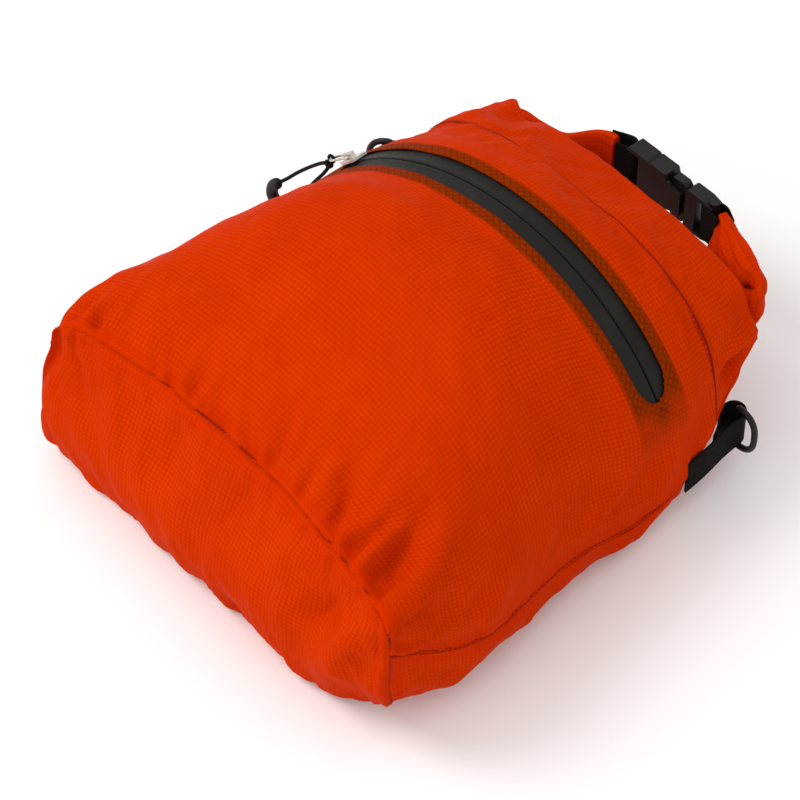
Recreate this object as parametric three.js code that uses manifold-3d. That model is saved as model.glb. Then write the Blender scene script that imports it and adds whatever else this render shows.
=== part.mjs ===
// A roll-top dry bag lying on its back, closed and full of air. Millimetres, +Z up.
// X is the bag's width, -Y its boxed base and +Y its rolled mouth. The origin is on the back panel.
import * as THREE from 'three';
import Module from 'manifold-3d';
import { mergeVertices } from 'three/addons/utils/BufferGeometryUtils.js';

const wasm = await Module();
wasm.setup();

const V = (x, y, z) => new THREE.Vector3(x, y, z);

// ---- driving dimensions ----

const BODY_LENGTH = 245; // base seam to mouth fold
const BASE_Y = -122;
const PANEL = 1.2; // thickness of a fabric panel
const SEAM_GAP = 1.2; // between two panels along a seam
const HEM_AT = 0.872; // share of the length where the collar starts
const HEM_GAP = 0.0016; // half the gap there, as a share of the length

// the closed cross-section at five stations from the base to the mouth
const STATIONS = [0, 0.2, 0.45, 0.75, 1];
const HALF_WIDTH = [119.5, 123, 113.5, 109, 91];
const CROWN = [89, 115.5, 141, 128, 100];
const WIDEST_AT = [66, 38, 30, 21, 64]; // height of the widest point
const SQUARENESS = [5.7, 3.06, 2.27, 2.28, 3.4];
const LEFT_SEAM = [66, 52, 46, 44, 66]; // the left side seam rides higher than the right one
const BACK_SQUARENESS = [5.2, 4, 3.8, 3.6, 3.2];
const MOUTH_LIFT = 52; // height of the collar's underside at the mouth
const LIFT_FROM = 0.64;
const FLAT_CUT = 5; // how much of the back's curve the ground presses flat
const BASE_INSET = 15.3; // how far the crown pulls the front base seam in
const BASE_BULGE = 11;

// the zip lies on an arc about an axis across the bag
const ZIP = {
  centre: V(-1.6, 40, 6), radius: 127,
  axis: V(-0.0782, 0.994, -0.0762).normalize(),
  from: -0.82, to: 0.9, // angles of the slider's end and the blind end
  tape: 15.5, window: 9, coil: 2.6, saddle: 27,
};

// the rolled mouth, bent into a carrying loop
const ROLL = { low: 60, high: 82, thick: 7.4, wall: 1, halfLength: 74, y: 128.2 };
const WEB = { width: 20, thick: 1.4 };
const BUCKLE = { y: 151, z: 79.5, depth: 9.6, half: 12.4 };
const RING = { bar: 3.2, height: 28, depth: 13, thick: 3.2 };

const COLOURS = {
  fabric: [0xd63000, 0.55, 0], web: [0x191715, 0.8, 0], plastic: [0x26211f, 0.4, 0],
  zip: [0x2e2d2a, 0.6, 0], metal: [0xb9b2a8, 0.3, 0.9], cord: [0x151312, 0.8, 0],
};

// ---- general helpers ----

const group = new THREE.Group();
group.name = 'dry_bag';

function add(name, geometry, colour, parent = group) {
  const [color, roughness, metalness] = COLOURS[colour];
  const mesh = new THREE.Mesh(geometry, new THREE.MeshStandardMaterial({ color, roughness, metalness }));
  mesh.name = name;
  parent.add(mesh);
  return mesh;
}

// a smooth curve through values at the stations, with finite-difference slopes
function profile(values, t, stations = STATIONS) {
  const last = stations.length - 1;
  let k = 0;
  while (k < last - 1 && t > stations[k + 1]) k += 1;
  const slope = (i) => {
    const a = Math.max(i - 1, 0);
    const b = Math.min(i + 1, last);
    return (values[b] - values[a]) / (stations[b] - stations[a]);
  };
  const h = stations[k + 1] - stations[k];
  const s = (t - stations[k]) / h;
  const s2 = s * s;
  const s3 = s2 * s;
  return (2 * s3 - 3 * s2 + 1) * values[k] + (s3 - 2 * s2 + s) * h * slope(k)
    + (3 * s2 - 2 * s3) * values[k + 1] + (s3 - s2) * h * slope(k + 1);
}

const clamp01 = (t) => Math.min(Math.max(t, 0), 1);
const smooth = (t) => clamp01(t) ** 2 * (3 - 2 * clamp01(t));

// points at equal steps along a polyline, starting and ending a little inside it
function resample(points, count, inset = 0) {
  const lengths = [0];
  for (let i = 1; i < points.length; i += 1) {
    lengths.push(lengths[i - 1] + points[i].distanceTo(points[i - 1]));
  }
  const total = lengths[lengths.length - 1];
  const out = [];
  let k = 1;
  for (let i = 0; i < count; i += 1) {
    const at = inset + (total - 2 * inset) * i / (count - 1);
    while (k < points.length - 1 && lengths[k] < at) k += 1;
    const t = (at - lengths[k - 1]) / (lengths[k] - lengths[k - 1]);
    out.push(points[k - 1].clone().lerp(points[k], t));
  }
  return out;
}

function geometryOf(positions, index) {
  const g = new THREE.BufferGeometry();
  g.setAttribute('position', new THREE.Float32BufferAttribute(positions.flatMap((p) => [p.x, p.y, p.z]), 3));
  g.setIndex(index);
  const flat = g.toNonIndexed().getAttribute('position');
  let volume = 0;
  for (let i = 0; i < flat.count; i += 3) {
    const [a, b, c] = [0, 1, 2].map((n) => new THREE.Vector3().fromBufferAttribute(flat, i + n));
    volume += a.dot(b.cross(c)) / 6;
  }
  if (volume < 0) {
    for (let i = 0; i < index.length; i += 3) [index[i], index[i + 1]] = [index[i + 1], index[i]];
    g.setIndex(index);
  }
  return g;
}

// a closed solid between two grids of points; wrap joins each row's end to its start
function sheet(outer, inner, wrap = false) {
  const rows = outer.length;
  const cols = outer[0].length;
  const points = [...outer.flat(), ...inner.flat()];
  const at = (layer, i, j) => layer * rows * cols + i * cols + (j % cols);
  const index = [];
  const quad = (a, b, c, d) => index.push(a, b, c, a, c, d);
  const steps = wrap ? cols : cols - 1;
  for (let i = 0; i < rows - 1; i += 1) {
    for (let j = 0; j < steps; j += 1) {
      quad(at(0, i, j), at(0, i, j + 1), at(0, i + 1, j + 1), at(0, i + 1, j));
      quad(at(1, i, j), at(1, i + 1, j), at(1, i + 1, j + 1), at(1, i, j + 1));
    }
  }
  for (let j = 0; j < steps; j += 1) {
    quad(at(0, 0, j), at(1, 0, j), at(1, 0, j + 1), at(0, 0, j + 1));
    quad(at(0, rows - 1, j), at(0, rows - 1, j + 1), at(1, rows - 1, j + 1), at(1, rows - 1, j));
  }
  for (let i = 0; i < rows - 1 && !wrap; i += 1) {
    quad(at(0, i, 0), at(0, i + 1, 0), at(1, i + 1, 0), at(1, i, 0));
    quad(at(0, i, cols - 1), at(1, i, cols - 1), at(1, i + 1, cols - 1), at(0, i + 1, cols - 1));
  }
  return geometryOf(points, index);
}

function asSolid(geometry) {
  let g = geometry.clone();
  g.deleteAttribute('normal');
  g.deleteAttribute('uv');
  g = mergeVertices(g, 1e-4);
  const vertProperties = new Float32Array(g.attributes.position.array);
  const triVerts = new Uint32Array(g.index.array);
  return new wasm.Manifold(new wasm.Mesh({ numProp: 3, vertProperties, triVerts }));
}

function asGeometry(solid) {
  const mesh = solid.getMesh();
  const g = new THREE.BufferGeometry();
  g.setAttribute('position', new THREE.BufferAttribute(Float32Array.from(mesh.vertProperties), 3));
  g.setIndex(Array.from(mesh.triVerts));
  return g;
}

const cut = (geometry, ...cutters) => asGeometry(
  cutters.reduce((left, cutter) => left.subtract(asSolid(cutter)), asSolid(geometry)),
);
const join = (...pieces) => asGeometry(pieces.map(asSolid).reduce((a, b) => a.add(b)));

// an outline in the XY plane, extruded from one height to another
function prism(outline, low, high) {
  const shape = new THREE.Shape(outline.map(([x, y]) => new THREE.Vector2(x, y)));
  const g = new THREE.ExtrudeGeometry(shape, { depth: high - low, bevelEnabled: false, curveSegments: 12 });
  return g.translate(0, 0, low);
}

const block = (x0, x1, y0, y1, z0, z1) => new THREE.BoxGeometry(x1 - x0, y1 - y0, z1 - z0)
  .translate((x0 + x1) / 2, (y0 + y1) / 2, (z0 + z1) / 2);

// a strip that stands on edge, following a route in plan
function standingStrip(route, thickness, low, high, count = 16) {
  const curve = new THREE.CatmullRomCurve3(route.map(([x, y]) => V(x, y, 0)), false, 'centripetal');
  const left = [];
  const right = [];
  for (let i = 0; i <= count; i += 1) {
    const p = curve.getPointAt(i / count);
    const t = curve.getTangentAt(i / count);
    left.push([p.x - t.y * thickness / 2, p.y + t.x * thickness / 2]);
    right.push([p.x + t.y * thickness / 2, p.y - t.x * thickness / 2]);
  }
  return prism([...left, ...right.reverse()], low, high);
}

// a round cord or wire along a route
function cordTube(route, diameter, sides, steps) {
  const curve = new THREE.CatmullRomCurve3(route.map((p) => V(...p)), false, 'centripetal');
  const section = new THREE.Shape();
  for (let i = 0; i < sides; i += 1) {
    const a = 2 * Math.PI * i / sides;
    const [x, y] = [Math.cos(a) * diameter / 2, Math.sin(a) * diameter / 2];
    if (i === 0) section.moveTo(x, y);
    else section.lineTo(x, y);
  }
  section.closePath();
  return new THREE.ExtrudeGeometry(section, { steps, extrudePath: curve, bevelEnabled: false });
}

// ---- the bag's surface ----

const zipUp = new THREE.Vector3().crossVectors(V(1, 0, 0), ZIP.axis).normalize();
const zipAcross = new THREE.Vector3().crossVectors(ZIP.axis, zipUp).normalize();

// a point at an angle from the crown, a height over the zip's arc and a distance along its axis
function onZip(angle, over = 0, along = 0) {
  return ZIP.centre.clone()
    .addScaledVector(zipAcross, Math.sin(angle) * (ZIP.radius + over))
    .addScaledVector(zipUp, Math.cos(angle) * (ZIP.radius + over))
    .addScaledVector(ZIP.axis, along);
}

// draws the front panel onto the zip's arc near the zip
function saddle(p) {
  const rel = p.clone().sub(ZIP.centre);
  const along = rel.dot(ZIP.axis);
  const radial = rel.clone().addScaledVector(ZIP.axis, -along);
  const angle = Math.atan2(radial.dot(zipAcross), radial.dot(zipUp));
  const ends = smooth((angle - ZIP.from + 0.3) / 0.25) * smooth((ZIP.to + 0.26 - angle) / 0.2);
  const pull = Math.exp(-((along / ZIP.saddle) ** 4)) * ends;
  return p.addScaledVector(radial.clone().normalize(), (ZIP.radius - radial.length()) * pull);
}

// the front and back halves of the cross-section at a share of the length
function section(t) {
  const half = profile(HALF_WIDTH, t);
  const crown = profile(CROWN, t);
  const wide = profile(WIDEST_AT, t);
  const power = 2 / profile(SQUARENESS, t);
  const backPower = 2 / profile(BACK_SQUARENESS, t);
  const under = MOUTH_LIFT * clamp01((t - LIFT_FROM) / (1 - LIFT_FROM)) ** 1.6;
  const seam = profile(LEFT_SEAM, t);
  const y = BASE_Y + t * BODY_LENGTH;
  const front = [];
  const back = [];
  const count = 400;
  for (let i = 0; i <= count; i += 1) {
    const a = Math.PI * i / count;
    const x = -half * Math.sign(Math.cos(a)) * Math.abs(Math.cos(a)) ** power;
    const rise = Math.abs(Math.sin(a)) ** power;
    const inset = (1 - (x / half) ** 2) * (BASE_INSET * (1 - t) ** 3 + 1.8 * t ** 3);
    front.push(saddle(V(x, y + inset, wide + (crown - wide) * rise)));
    const xb = -half * Math.sign(Math.cos(a)) * Math.abs(Math.cos(a)) ** backPower;
    const drop = Math.abs(Math.sin(a)) ** backPower;
    back.push(V(xb, y, Math.max(wide - (wide - under + FLAT_CUT) * drop, under)));
  }
  const split = front.findIndex((p) => p.z >= seam);
  return { front: front.slice(split), back: [...front.slice(0, split + 1).reverse(), ...back] };
}

const HEART = V(0, 0, 55);

// the grid moved towards the bag's inside along its own normals
function offsetGrid(grid, depth) {
  const held = (k, count) => Math.min(Math.max(k, 0), count - 1);
  const at = (i, j) => grid[held(i, grid.length)][held(j, grid[0].length)];
  return grid.map((row, i) => row.map((p, j) => {
    const along = at(i + 1, j).clone().sub(at(i - 1, j));
    const n = along.cross(at(i, j + 1).clone().sub(at(i, j - 1))).normalize();
    if (n.dot(p.clone().sub(HEART)) < 0) n.negate();
    return p.clone().addScaledVector(n, -depth);
  }));
}

function gridFrom(side, from, to, rows, cols, inset = SEAM_GAP / 2) {
  return Array.from({ length: rows }, (_, i) => {
    const line = section(from + (to - from) * i / (rows - 1))[side];
    return resample(line, cols, inset);
  });
}

const panel = (grid, depth = 0, thickness = PANEL) => sheet(
  depth ? offsetGrid(grid, depth) : grid, offsetGrid(grid, depth + thickness));

// ---- fabric panels ----

// the slot that the zip shows through, with round ends, as a solid through the panel
function zipWindow() {
  const half = ZIP.window;
  const rows = [];
  const count = 30;
  const round = half / ZIP.radius;
  for (let i = 0; i <= count; i += 1) {
    const angle = ZIP.from + 0.02 + (ZIP.to - ZIP.from - 0.02) * i / count;
    const toEnd = Math.min(angle - ZIP.from, ZIP.to - angle + 0.004) / round;
    const w = half * Math.sqrt(1 - (1 - clamp01(toEnd)) ** 2) + 0.2;
    rows.push([w, angle]);
  }
  const layer = (over) => rows.map(([w, angle]) => [onZip(angle, over, -w), onZip(angle, over, w)]);
  return sheet(layer(12), layer(-12));
}

function addPanels() {
  const frontGrid = gridFrom('front', 0, HEM_AT - HEM_GAP, 17, 31);
  add('front_panel', cut(panel(frontGrid), zipWindow()), 'fabric');
  add('back_panel', panel(gridFrom('back', 0, HEM_AT - HEM_GAP, 17, 27)), 'fabric');
  add('collar_front', panel(gridFrom('front', HEM_AT + HEM_GAP, 1, 5, 25)), 'fabric');
  add('collar_back', panel(gridFrom('back', HEM_AT + HEM_GAP, 1, 5, 23)), 'fabric');
}

function addBasePanel() {
  const { front, back } = section(0);
  const rim = [...resample(front, 25).slice(0, -1), ...resample(back, 21).reverse().slice(0, -1)];
  const centre = V(0, BASE_Y, CROWN[0] / 2);
  const ring = (share, depth) => rim.map((p) => {
    const q = centre.clone().lerp(p, share);
    q.y = BASE_Y + (p.y - BASE_Y) * share ** 3 - BASE_BULGE * (1 - share ** 2) - depth;
    return q;
  });
  const shares = [1, 0.93, 0.82, 0.64, 0.42, 0.2, 0.02];
  add('base_panel', baseDisc(shares.map((s) => ring(s, 1.9)), shares.map((s) => ring(s, 0.6))), 'fabric');
}

// a round panel from rings: like sheet with wrap, and closed at the middle
function baseDisc(outer, inner) {
  const cols = outer[0].length;
  const rows = outer.length;
  const middle = (ring) => ring.reduce((a, p) => a.add(p), V(0, 0, 0)).divideScalar(cols);
  const points = [...outer.flat(), ...inner.flat(), middle(outer[rows - 1]), middle(inner[rows - 1])];
  const at = (layer, i, j) => layer * rows * cols + i * cols + (j % cols);
  const index = [];
  const quad = (a, b, c, d) => index.push(a, b, c, a, c, d);
  for (let j = 0; j < cols; j += 1) {
    for (let i = 0; i < rows - 1; i += 1) {
      quad(at(0, i, j), at(0, i, j + 1), at(0, i + 1, j + 1), at(0, i + 1, j));
      quad(at(1, i, j), at(1, i + 1, j), at(1, i + 1, j + 1), at(1, i, j + 1));
    }
    quad(at(0, 0, j), at(1, 0, j), at(1, 0, j + 1), at(0, 0, j + 1));
    index.push(at(0, rows - 1, j), at(0, rows - 1, j + 1), 2 * rows * cols);
    index.push(at(1, rows - 1, j), 2 * rows * cols + 1, at(1, rows - 1, j + 1));
  }
  return geometryOf(points, index);
}

// tapes that seal the side seams on the inside
const TAPE_DEPTH = 3.6;

function addSeamTapes() {
  const tapeGrid = (isLeft) => Array.from({ length: 17 }, (_, i) => {
    const { front, back } = section(0.05 + (HEM_AT - 0.06) * i / 16);
    const fromSeam = (line) => resample(isLeft ? line : [...line].reverse(), 301);
    const reach = (line, distance) => fromSeam(line).find((p, _n, all) => all[0].distanceTo(p) >= distance);
    return [reach(back, 5), reach(back, 2.5), reach(front, 0), reach(front, 2.5), reach(front, 5)];
  });
  add('left_side_seam_tape', panel(tapeGrid(true), TAPE_DEPTH, 0.6), 'fabric');
  add('right_side_seam_tape', panel(tapeGrid(false), TAPE_DEPTH, 0.6), 'fabric');
}

// ---- the zip ----

function arcBand(from, to, low, high, near, far, count = 26) {
  const layer = (over) => Array.from({ length: count + 1 }, (_, i) => {
    const angle = from + (to - from) * i / count;
    return [onZip(angle, over, near), onZip(angle, over, far)];
  });
  return sheet(layer(high), layer(low));
}

function addZip() {
  const [a, b] = [ZIP.from - 0.06, ZIP.to + 0.07];
  add('zip_tape_base_side', arcBand(a, b, -4, -3, -ZIP.tape, -0.25), 'zip');
  add('zip_tape_mouth_side', arcBand(a, b, -4, -3, 0.25, ZIP.tape), 'zip');
  add('zip_coil', arcBand(ZIP.from + 0.035, ZIP.to - 0.06, -2.7, -0.2, -ZIP.coil, ZIP.coil), 'zip');
  add('zip_end_stop', arcBand(ZIP.to + 0.015, ZIP.to + 0.055, -2.7, -2.1, -3.4, 3.4, 3), 'zip');
  add('zip_top_stop', arcBand(ZIP.from - 0.05, ZIP.from - 0.022, -2.7, -2.1, -3.4, 3.4, 3), 'zip');
}

// the slider, its puller and the cord loop, at the zip's closed end
const SLIDER = { angle: ZIP.from + 0.045, length: 13, half: 4.6 };

function zipFrame(angle) {
  const frame = new THREE.Group();
  const out = onZip(angle, 1).sub(onZip(angle, 0)).normalize();
  const along = new THREE.Vector3().crossVectors(ZIP.axis, out).normalize();
  frame.matrixAutoUpdate = false;
  frame.matrix.makeBasis(along, ZIP.axis.clone(), out).setPosition(onZip(angle));
  group.add(frame);
  return frame;
}

// the slider's own frame: x along the zip towards its blind end, y along the axis, z out of the bag
const sliderFrame = zipFrame(SLIDER.angle);

function addSlider() {
  const { length, half } = SLIDER;
  const nose = [[-length / 2, -2.6], [-length / 2 + 4, -half], [length / 2, -half], [length / 2, half],
    [-length / 2 + 4, half], [-length / 2, 2.6]];
  const plate = prism(nose, 0.3, 1.7);
  const bail = cut(block(-4.2, 3.6, -0.7, 0.7, 1.5, 4.9), block(-2.9, 2.3, -2, 2, 1.7, 3.6));
  add('slider_body', join(plate, bail), 'metal', sliderFrame);
}

const PULLER = { pivot: [-1.2, 2.65], wire: 1.2, reach: 14.5, rest: 0.1 };

function addPuller() {
  const [px, pz] = PULLER.pivot;
  const outline = new THREE.Shape();
  outline.moveTo(0.7, -2.1);
  outline.lineTo(-10, -3.1);
  outline.quadraticCurveTo(-PULLER.reach, -3.1, -PULLER.reach, 0);
  outline.quadraticCurveTo(-PULLER.reach, 3.1, -10, 3.1);
  outline.lineTo(0.7, 2.1);
  outline.closePath();
  const hole = new THREE.Path();
  hole.moveTo(-0.6, -1.05);
  hole.lineTo(-0.6, 1.05);
  hole.lineTo(-9.8, 1.8);
  hole.quadraticCurveTo(-PULLER.reach + 1.3, 1.7, -PULLER.reach + 1.3, 0);
  hole.quadraticCurveTo(-PULLER.reach + 1.3, -1.7, -9.8, -1.8);
  hole.closePath();
  outline.holes.push(hole);
  const { wire } = PULLER;
  const loop = new THREE.ExtrudeGeometry(outline, { depth: wire, bevelEnabled: false, curveSegments: 4 });
  loop.translate(0, 0, -wire / 2).rotateY(PULLER.rest).translate(px, 0, pz);
  add('wire_puller', loop, 'metal', sliderFrame);
}

// route of the cord loop in the slider's frame: the knot by the wire, then two strands to the grip
const KNOT = [-18.2, 0, 2.4];
const CORD = 1.9;
const UPPER_STRAND = [[-20.7, 0, 3], [-26, 0.6, 3.4], [-36, 1, 3.2], [-48, 1, 2.4], [-58, 0.6, 1.2],
  [-66.5, 0, 0.6]];
const LOWER_STRAND = [[-20.4, 0, 0.7], [-26, -0.6, -1.4], [-36, -1, -4], [-48, -1, -7.4], [-58, -0.6, -10.2],
  [-66, 0, -11.4]];
const GRIP_ROUTE = [[-65.4, 0, 0.6], [-71, 0, 0], [-75, 0, -3.4], [-75, 0, -7.8], [-71.4, 0, -11.2],
  [-65, 0, -11.5]];

function addPullCord() {
  const knot = new THREE.SphereGeometry(2.1, 10, 8);
  add('cord_knot', knot.translate(...KNOT), 'cord', sliderFrame);
  add('pull_cord_upper', cordTube(UPPER_STRAND, CORD, 8, 14), 'cord', sliderFrame);
  add('pull_cord_lower', cordTube(LOWER_STRAND, CORD, 8, 14), 'cord', sliderFrame);
  const curve = new THREE.CatmullRomCurve3(GRIP_ROUTE.map((p) => V(...p)), false, 'centripetal');
  const grip = new THREE.Shape();
  grip.absellipse(0, 0, 2.2, 2.9, 0, 2 * Math.PI);
  const bar = new THREE.ExtrudeGeometry(grip, {
    steps: 16, extrudePath: curve, bevelEnabled: false, curveSegments: 5,
  });
  const socket = ([x, y, z]) => new THREE.CylinderGeometry(CORD / 2 + 0.35, CORD / 2 + 0.35, 6, 10)
    .rotateZ(Math.PI / 2).translate(x, y, z);
  add('pull_grip', cut(bar, socket(GRIP_ROUTE.at(0)), socket(GRIP_ROUTE.at(-1))), 'plastic', sliderFrame);
}

// ---- the rolled mouth and its stiffener ----

const LEFT_ARM = [[-75.5, 128.2], [-80, 128.4], [-84.4, 132.8], [-81, 137.6], [-70, 139.2], [-56, 141],
  [-40, 145], [-30, 147.4], [-25, 148.2]];
const RIGHT_ARM = [[75.5, 128.2], [79.5, 128.2], [83.4, 132.4], [79.4, 136.8], [70, 139.6], [60, 143.6],
  [52, 146.6], [45, 148.6]];

// how far each arm has climbed from the roll's height to the buckle's
const CLIMB = 8.5;
const DIP = -8;
const rightClimb = (x) => CLIMB * smooth((80 - x) / 40);
const leftClimb = (x, y) => {
  const share = smooth((x + 60) / 32);
  return CLIMB * share + DIP * smooth((y - 129) / 6) * (1 - share);
};

function lifted(geometry, climb) {
  const p = geometry.getAttribute('position');
  for (let i = 0; i < p.count; i += 1) p.setZ(i, p.getZ(i) + climb(p.getX(i), p.getY(i)));
  return geometry;
}

function sleeve(route, count) {
  const { low, high, thick, wall } = ROLL;
  const beyond = ([x, y], [nextX, nextY]) => [2 * x - nextX, 2 * y - nextY];
  const n = route.length - 1;
  const longer = [beyond(route[0], route[1]), ...route, beyond(route[n], route[n - 1])];
  const hollow = standingStrip(longer, thick - 2 * wall - 1.2, low + wall, high - wall, count + 10);
  return cut(standingStrip(route, thick, low, high, count), hollow);
}

function addRoll() {
  const { halfLength, y } = ROLL;
  const flat = [[-halfLength, y - 0.4], [-halfLength / 2, y], [halfLength / 2, y], [halfLength, y - 0.4]];
  add('mouth_roll', sleeve(flat, 8), 'fabric');
  add('mouth_stiffener', standingStrip(flat, 1.6, ROLL.low + 3, ROLL.high - 3, 8), 'web');
  add('mouth_roll_left_end', lifted(sleeve(LEFT_ARM, 22), leftClimb), 'fabric');
  add('mouth_roll_right_end', lifted(sleeve(RIGHT_ARM, 22), rightClimb), 'fabric');
}

// ---- the side-release buckle ----

const inBuckle = (g) => g.translate(0, BUCKLE.y, BUCKLE.z);

// an outline in x and z, as deep as given, about the buckle's middle plane
function plateXZ(outline, depth, offset = 0) {
  const g = prism(outline, -depth / 2, depth / 2).rotateX(Math.PI / 2);
  return g.translate(0, offset, 0);
}

const mirrored = (half) => [...half, ...[...half].reverse().map(([x, z]) => [x, -z])];

function addFemaleHalf() {
  const { depth, half } = BUCKLE;
  const outline = mirrored([[-17, 10.5], [-15.4, half], [-3.6, half], [-2.6, half - 0.8], [-1.6, half],
    [9, half], [10.2, half - 3.4], [14, half - 5], [19.4, half - 5.4]]);
  const body = plateXZ(outline, depth);
  const slot = block(-14, -8.6, -depth, depth, -10.3, 10.3);
  const inside = [[-4.6, 10], [3.9, 10], [3.9, 8.4], [9.8, 8.4], [9.9, 14], [26, 14]];
  const socket = plateXZ(mirrored(inside), 5.8);
  const recess = (side) => block(-18, -13.5, side * 4.2 - 2.6, side * 4.2 + 2.6, -10.5, 10.5);
  add('buckle_female', inBuckle(cut(body, slot, socket, recess(1), recess(-1))), 'plastic');
}

function addMaleHalf() {
  const { depth, half } = BUCKLE;
  const outline = [[21.6, 11], [23, half], [33, half], [38.2, half - 1.6], [39.4, half - 3.4]];
  const base = plateXZ(mirrored(outline), 7.6);
  const bar = new THREE.CylinderGeometry(2.7, 2.7, 2 * half + 1.2, 14).rotateX(Math.PI / 2);
  bar.translate(37, 0, 0);
  const slot = block(28.4, 33, -depth, depth, -10.3, 10.3);
  const guide = block(4, 22, -2.4, 2.4, -2.1, 2.1);
  const recess = (side) => block(32.8, 42, side * 5 - 3.2, side * 5 + 3.2, -10.5, 10.5);
  const frame = join(cut(base, slot, recess(1), recess(-1)), bar);
  add('buckle_male', inBuckle(join(frame, guide)), 'plastic');
}

// the two sprung arms: each is pressed in at its pad, and the barb near its tip latches behind the
// socket's lip
function prong(side) {
  const { half } = BUCKLE;
  const outline = [[21.2, 5.2], [21.2, 9.8], [19, half], [12.2, half - 0.2], [10.7, 9.8], [9.9, 8],
    [3.7, 7.9], [3.4, 9.6], [1.4, 9.7], [-0.6, 7.2], [-0.6, 5.2], [9, 5.6], [16, 6.2]];
  return plateXZ(outline.map(([x, z]) => [x, z * side]), 4.8);
}

function addProngs() {
  add('prong_upper', inBuckle(prong(1)), 'plastic');
  add('prong_lower', inBuckle(prong(-1)), 'plastic');
}

// webbing: along the roll end's outer face, round the buckle's bar and back on the inner face
function addBuckleStraps() {
  const { thick, width } = WEB;
  const low = BUCKLE.z - width / 2;
  const { y } = BUCKLE;
  const femaleRoute = [[-32, 152], [-28.5, 152.8], [-25, 153.8], [-20, y + 4.2], [-16.5, y + 2.9],
    [-14.4, y + 2.6], [-12.4, y + 1.7], [-11.6, y], [-12.4, y - 1.7], [-14.4, y - 2.6], [-17.4, y - 2.9],
    [-21, y - 4], [-23.6, y - 4.9]];
  add('female_strap', standingStrip(femaleRoute, thick, low, low + width, 40), 'web');
  const maleRoute = [[52.6, 151.8], [48.6, 153.1], [45, 154.1], [42, 154.8], [38.5, y + 4],
    [34.5, y + 3.3], [31.8, y + 2.2], [30.8, y], [31.8, y - 2.2], [34.5, y - 3.3], [38.5, y - 4],
    [41.5, y - 4.4], [43.8, y - 4.8]];
  add('male_strap', standingStrip(maleRoute, thick, low, low + width, 40), 'web');
}

// ---- side tabs and D-rings ----

// each tab's route is given from the ring's bar: out along the root strand, round the bar and back
const TABS = [
  {
    name: 'right', side: 1, bar: [101.5, 107.5], z: 24, hang: 0,
    root: [[7.5, -40], [7.1, -33.5], [5.9, -23.5], [4.1, -12.5], [3.4, -5]],
    tail: [[-6, -5.2], [-2.6, -9.6], [0.8, -14], [3.2, -18.6]],
  },
  {
    name: 'left', side: -1, bar: [113.6, 84.5], z: 51, hang: 0.6,
    root: [[-3.2, -38], [-2.6, -28], [-0.4, -16], [2.6, -7]],
    tail: [[-6.2, -5.2], [-4.8, -10], [-3.9, -15], [-3.8, -20]],
  },
];
const TAB_LOOP = { x: -1.9, y: -0.5, radius: 5.2 };

// folded webbing, sewn at its root, with the ring's bar held loosely in the fold
function addTab({ name, side, bar, z, hang, root, tail }) {
  const low = z - WEB.width / 2;
  const fold = [0, 0.25, 0.5, 0.75, 1].map((share) => {
    const turn = Math.PI * share;
    return [TAB_LOOP.x + TAB_LOOP.radius * Math.cos(turn), TAB_LOOP.y + TAB_LOOP.radius * Math.sin(turn)];
  });
  const placed = [...root, ...fold, ...tail].map(([x, y]) => [(bar[0] + x) * side, bar[1] + y]);
  add(`${name}_tab`, standingStrip(placed, WEB.thick, low, low + WEB.width, 44), 'web');
  addRing(name, side, bar, z, hang);
}

// a flat D with its straight bar upright in the webbing and its bow pointing outwards
function addRing(name, side, [barX, barY], z, hang) {
  const { bar, height, depth, thick } = RING;
  const outer = dOutline(height / 2, depth, -bar / 2);
  const inner = dOutline(height / 2 - bar, depth - bar, bar / 2);
  const shape = new THREE.Shape(outer);
  shape.holes.push(new THREE.Path(inner));
  const bevel = 0.6;
  const g = new THREE.ExtrudeGeometry(shape, {
    depth: thick - 2 * bevel,
    bevelEnabled: true,
    bevelThickness: bevel,
    bevelSize: bevel,
    bevelOffset: -bevel,
    bevelSegments: 1,
  });
  g.translate(0, 0, -thick / 2 + bevel).rotateX(Math.PI / 2);
  g.rotateZ(hang + (side < 0 ? Math.PI : 0));
  add(`${name}_ring`, g.translate(side * barX, barY, z), 'plastic');
}

// a D: straight at x = start, bowed out to x = reach, with half its height up and down
function dOutline(halfHeight, reach, start) {
  const points = [];
  const count = 14;
  for (let i = 0; i <= count; i += 1) {
    const a = -Math.PI / 2 + Math.PI * i / count;
    const squared = (value) => Math.sign(value) * Math.abs(value) ** 0.75;
    const x = start + (reach - start) * squared(Math.cos(a));
    points.push(new THREE.Vector2(x, halfHeight * squared(Math.sin(a))));
  }
  return points;
}

addPanels();
addBasePanel();
addSeamTapes();
addZip();
addSlider();
addPuller();
addPullCord();
addRoll();
addFemaleHalf();
addMaleHalf();
addProngs();
addBuckleStraps();
TABS.forEach(addTab);

export default group;
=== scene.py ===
"""A small roll-top dry bag lying on its back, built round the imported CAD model.

Shapes are worked out in millimetres in the CAD's frame (X across the bag, +Y towards the rolled mouth,
+Z up, origin under the bag) and turned into metres when a mesh is made.
"""
import math

import bpy
import numpy as np
from mathutils import Matrix, Vector


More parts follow.
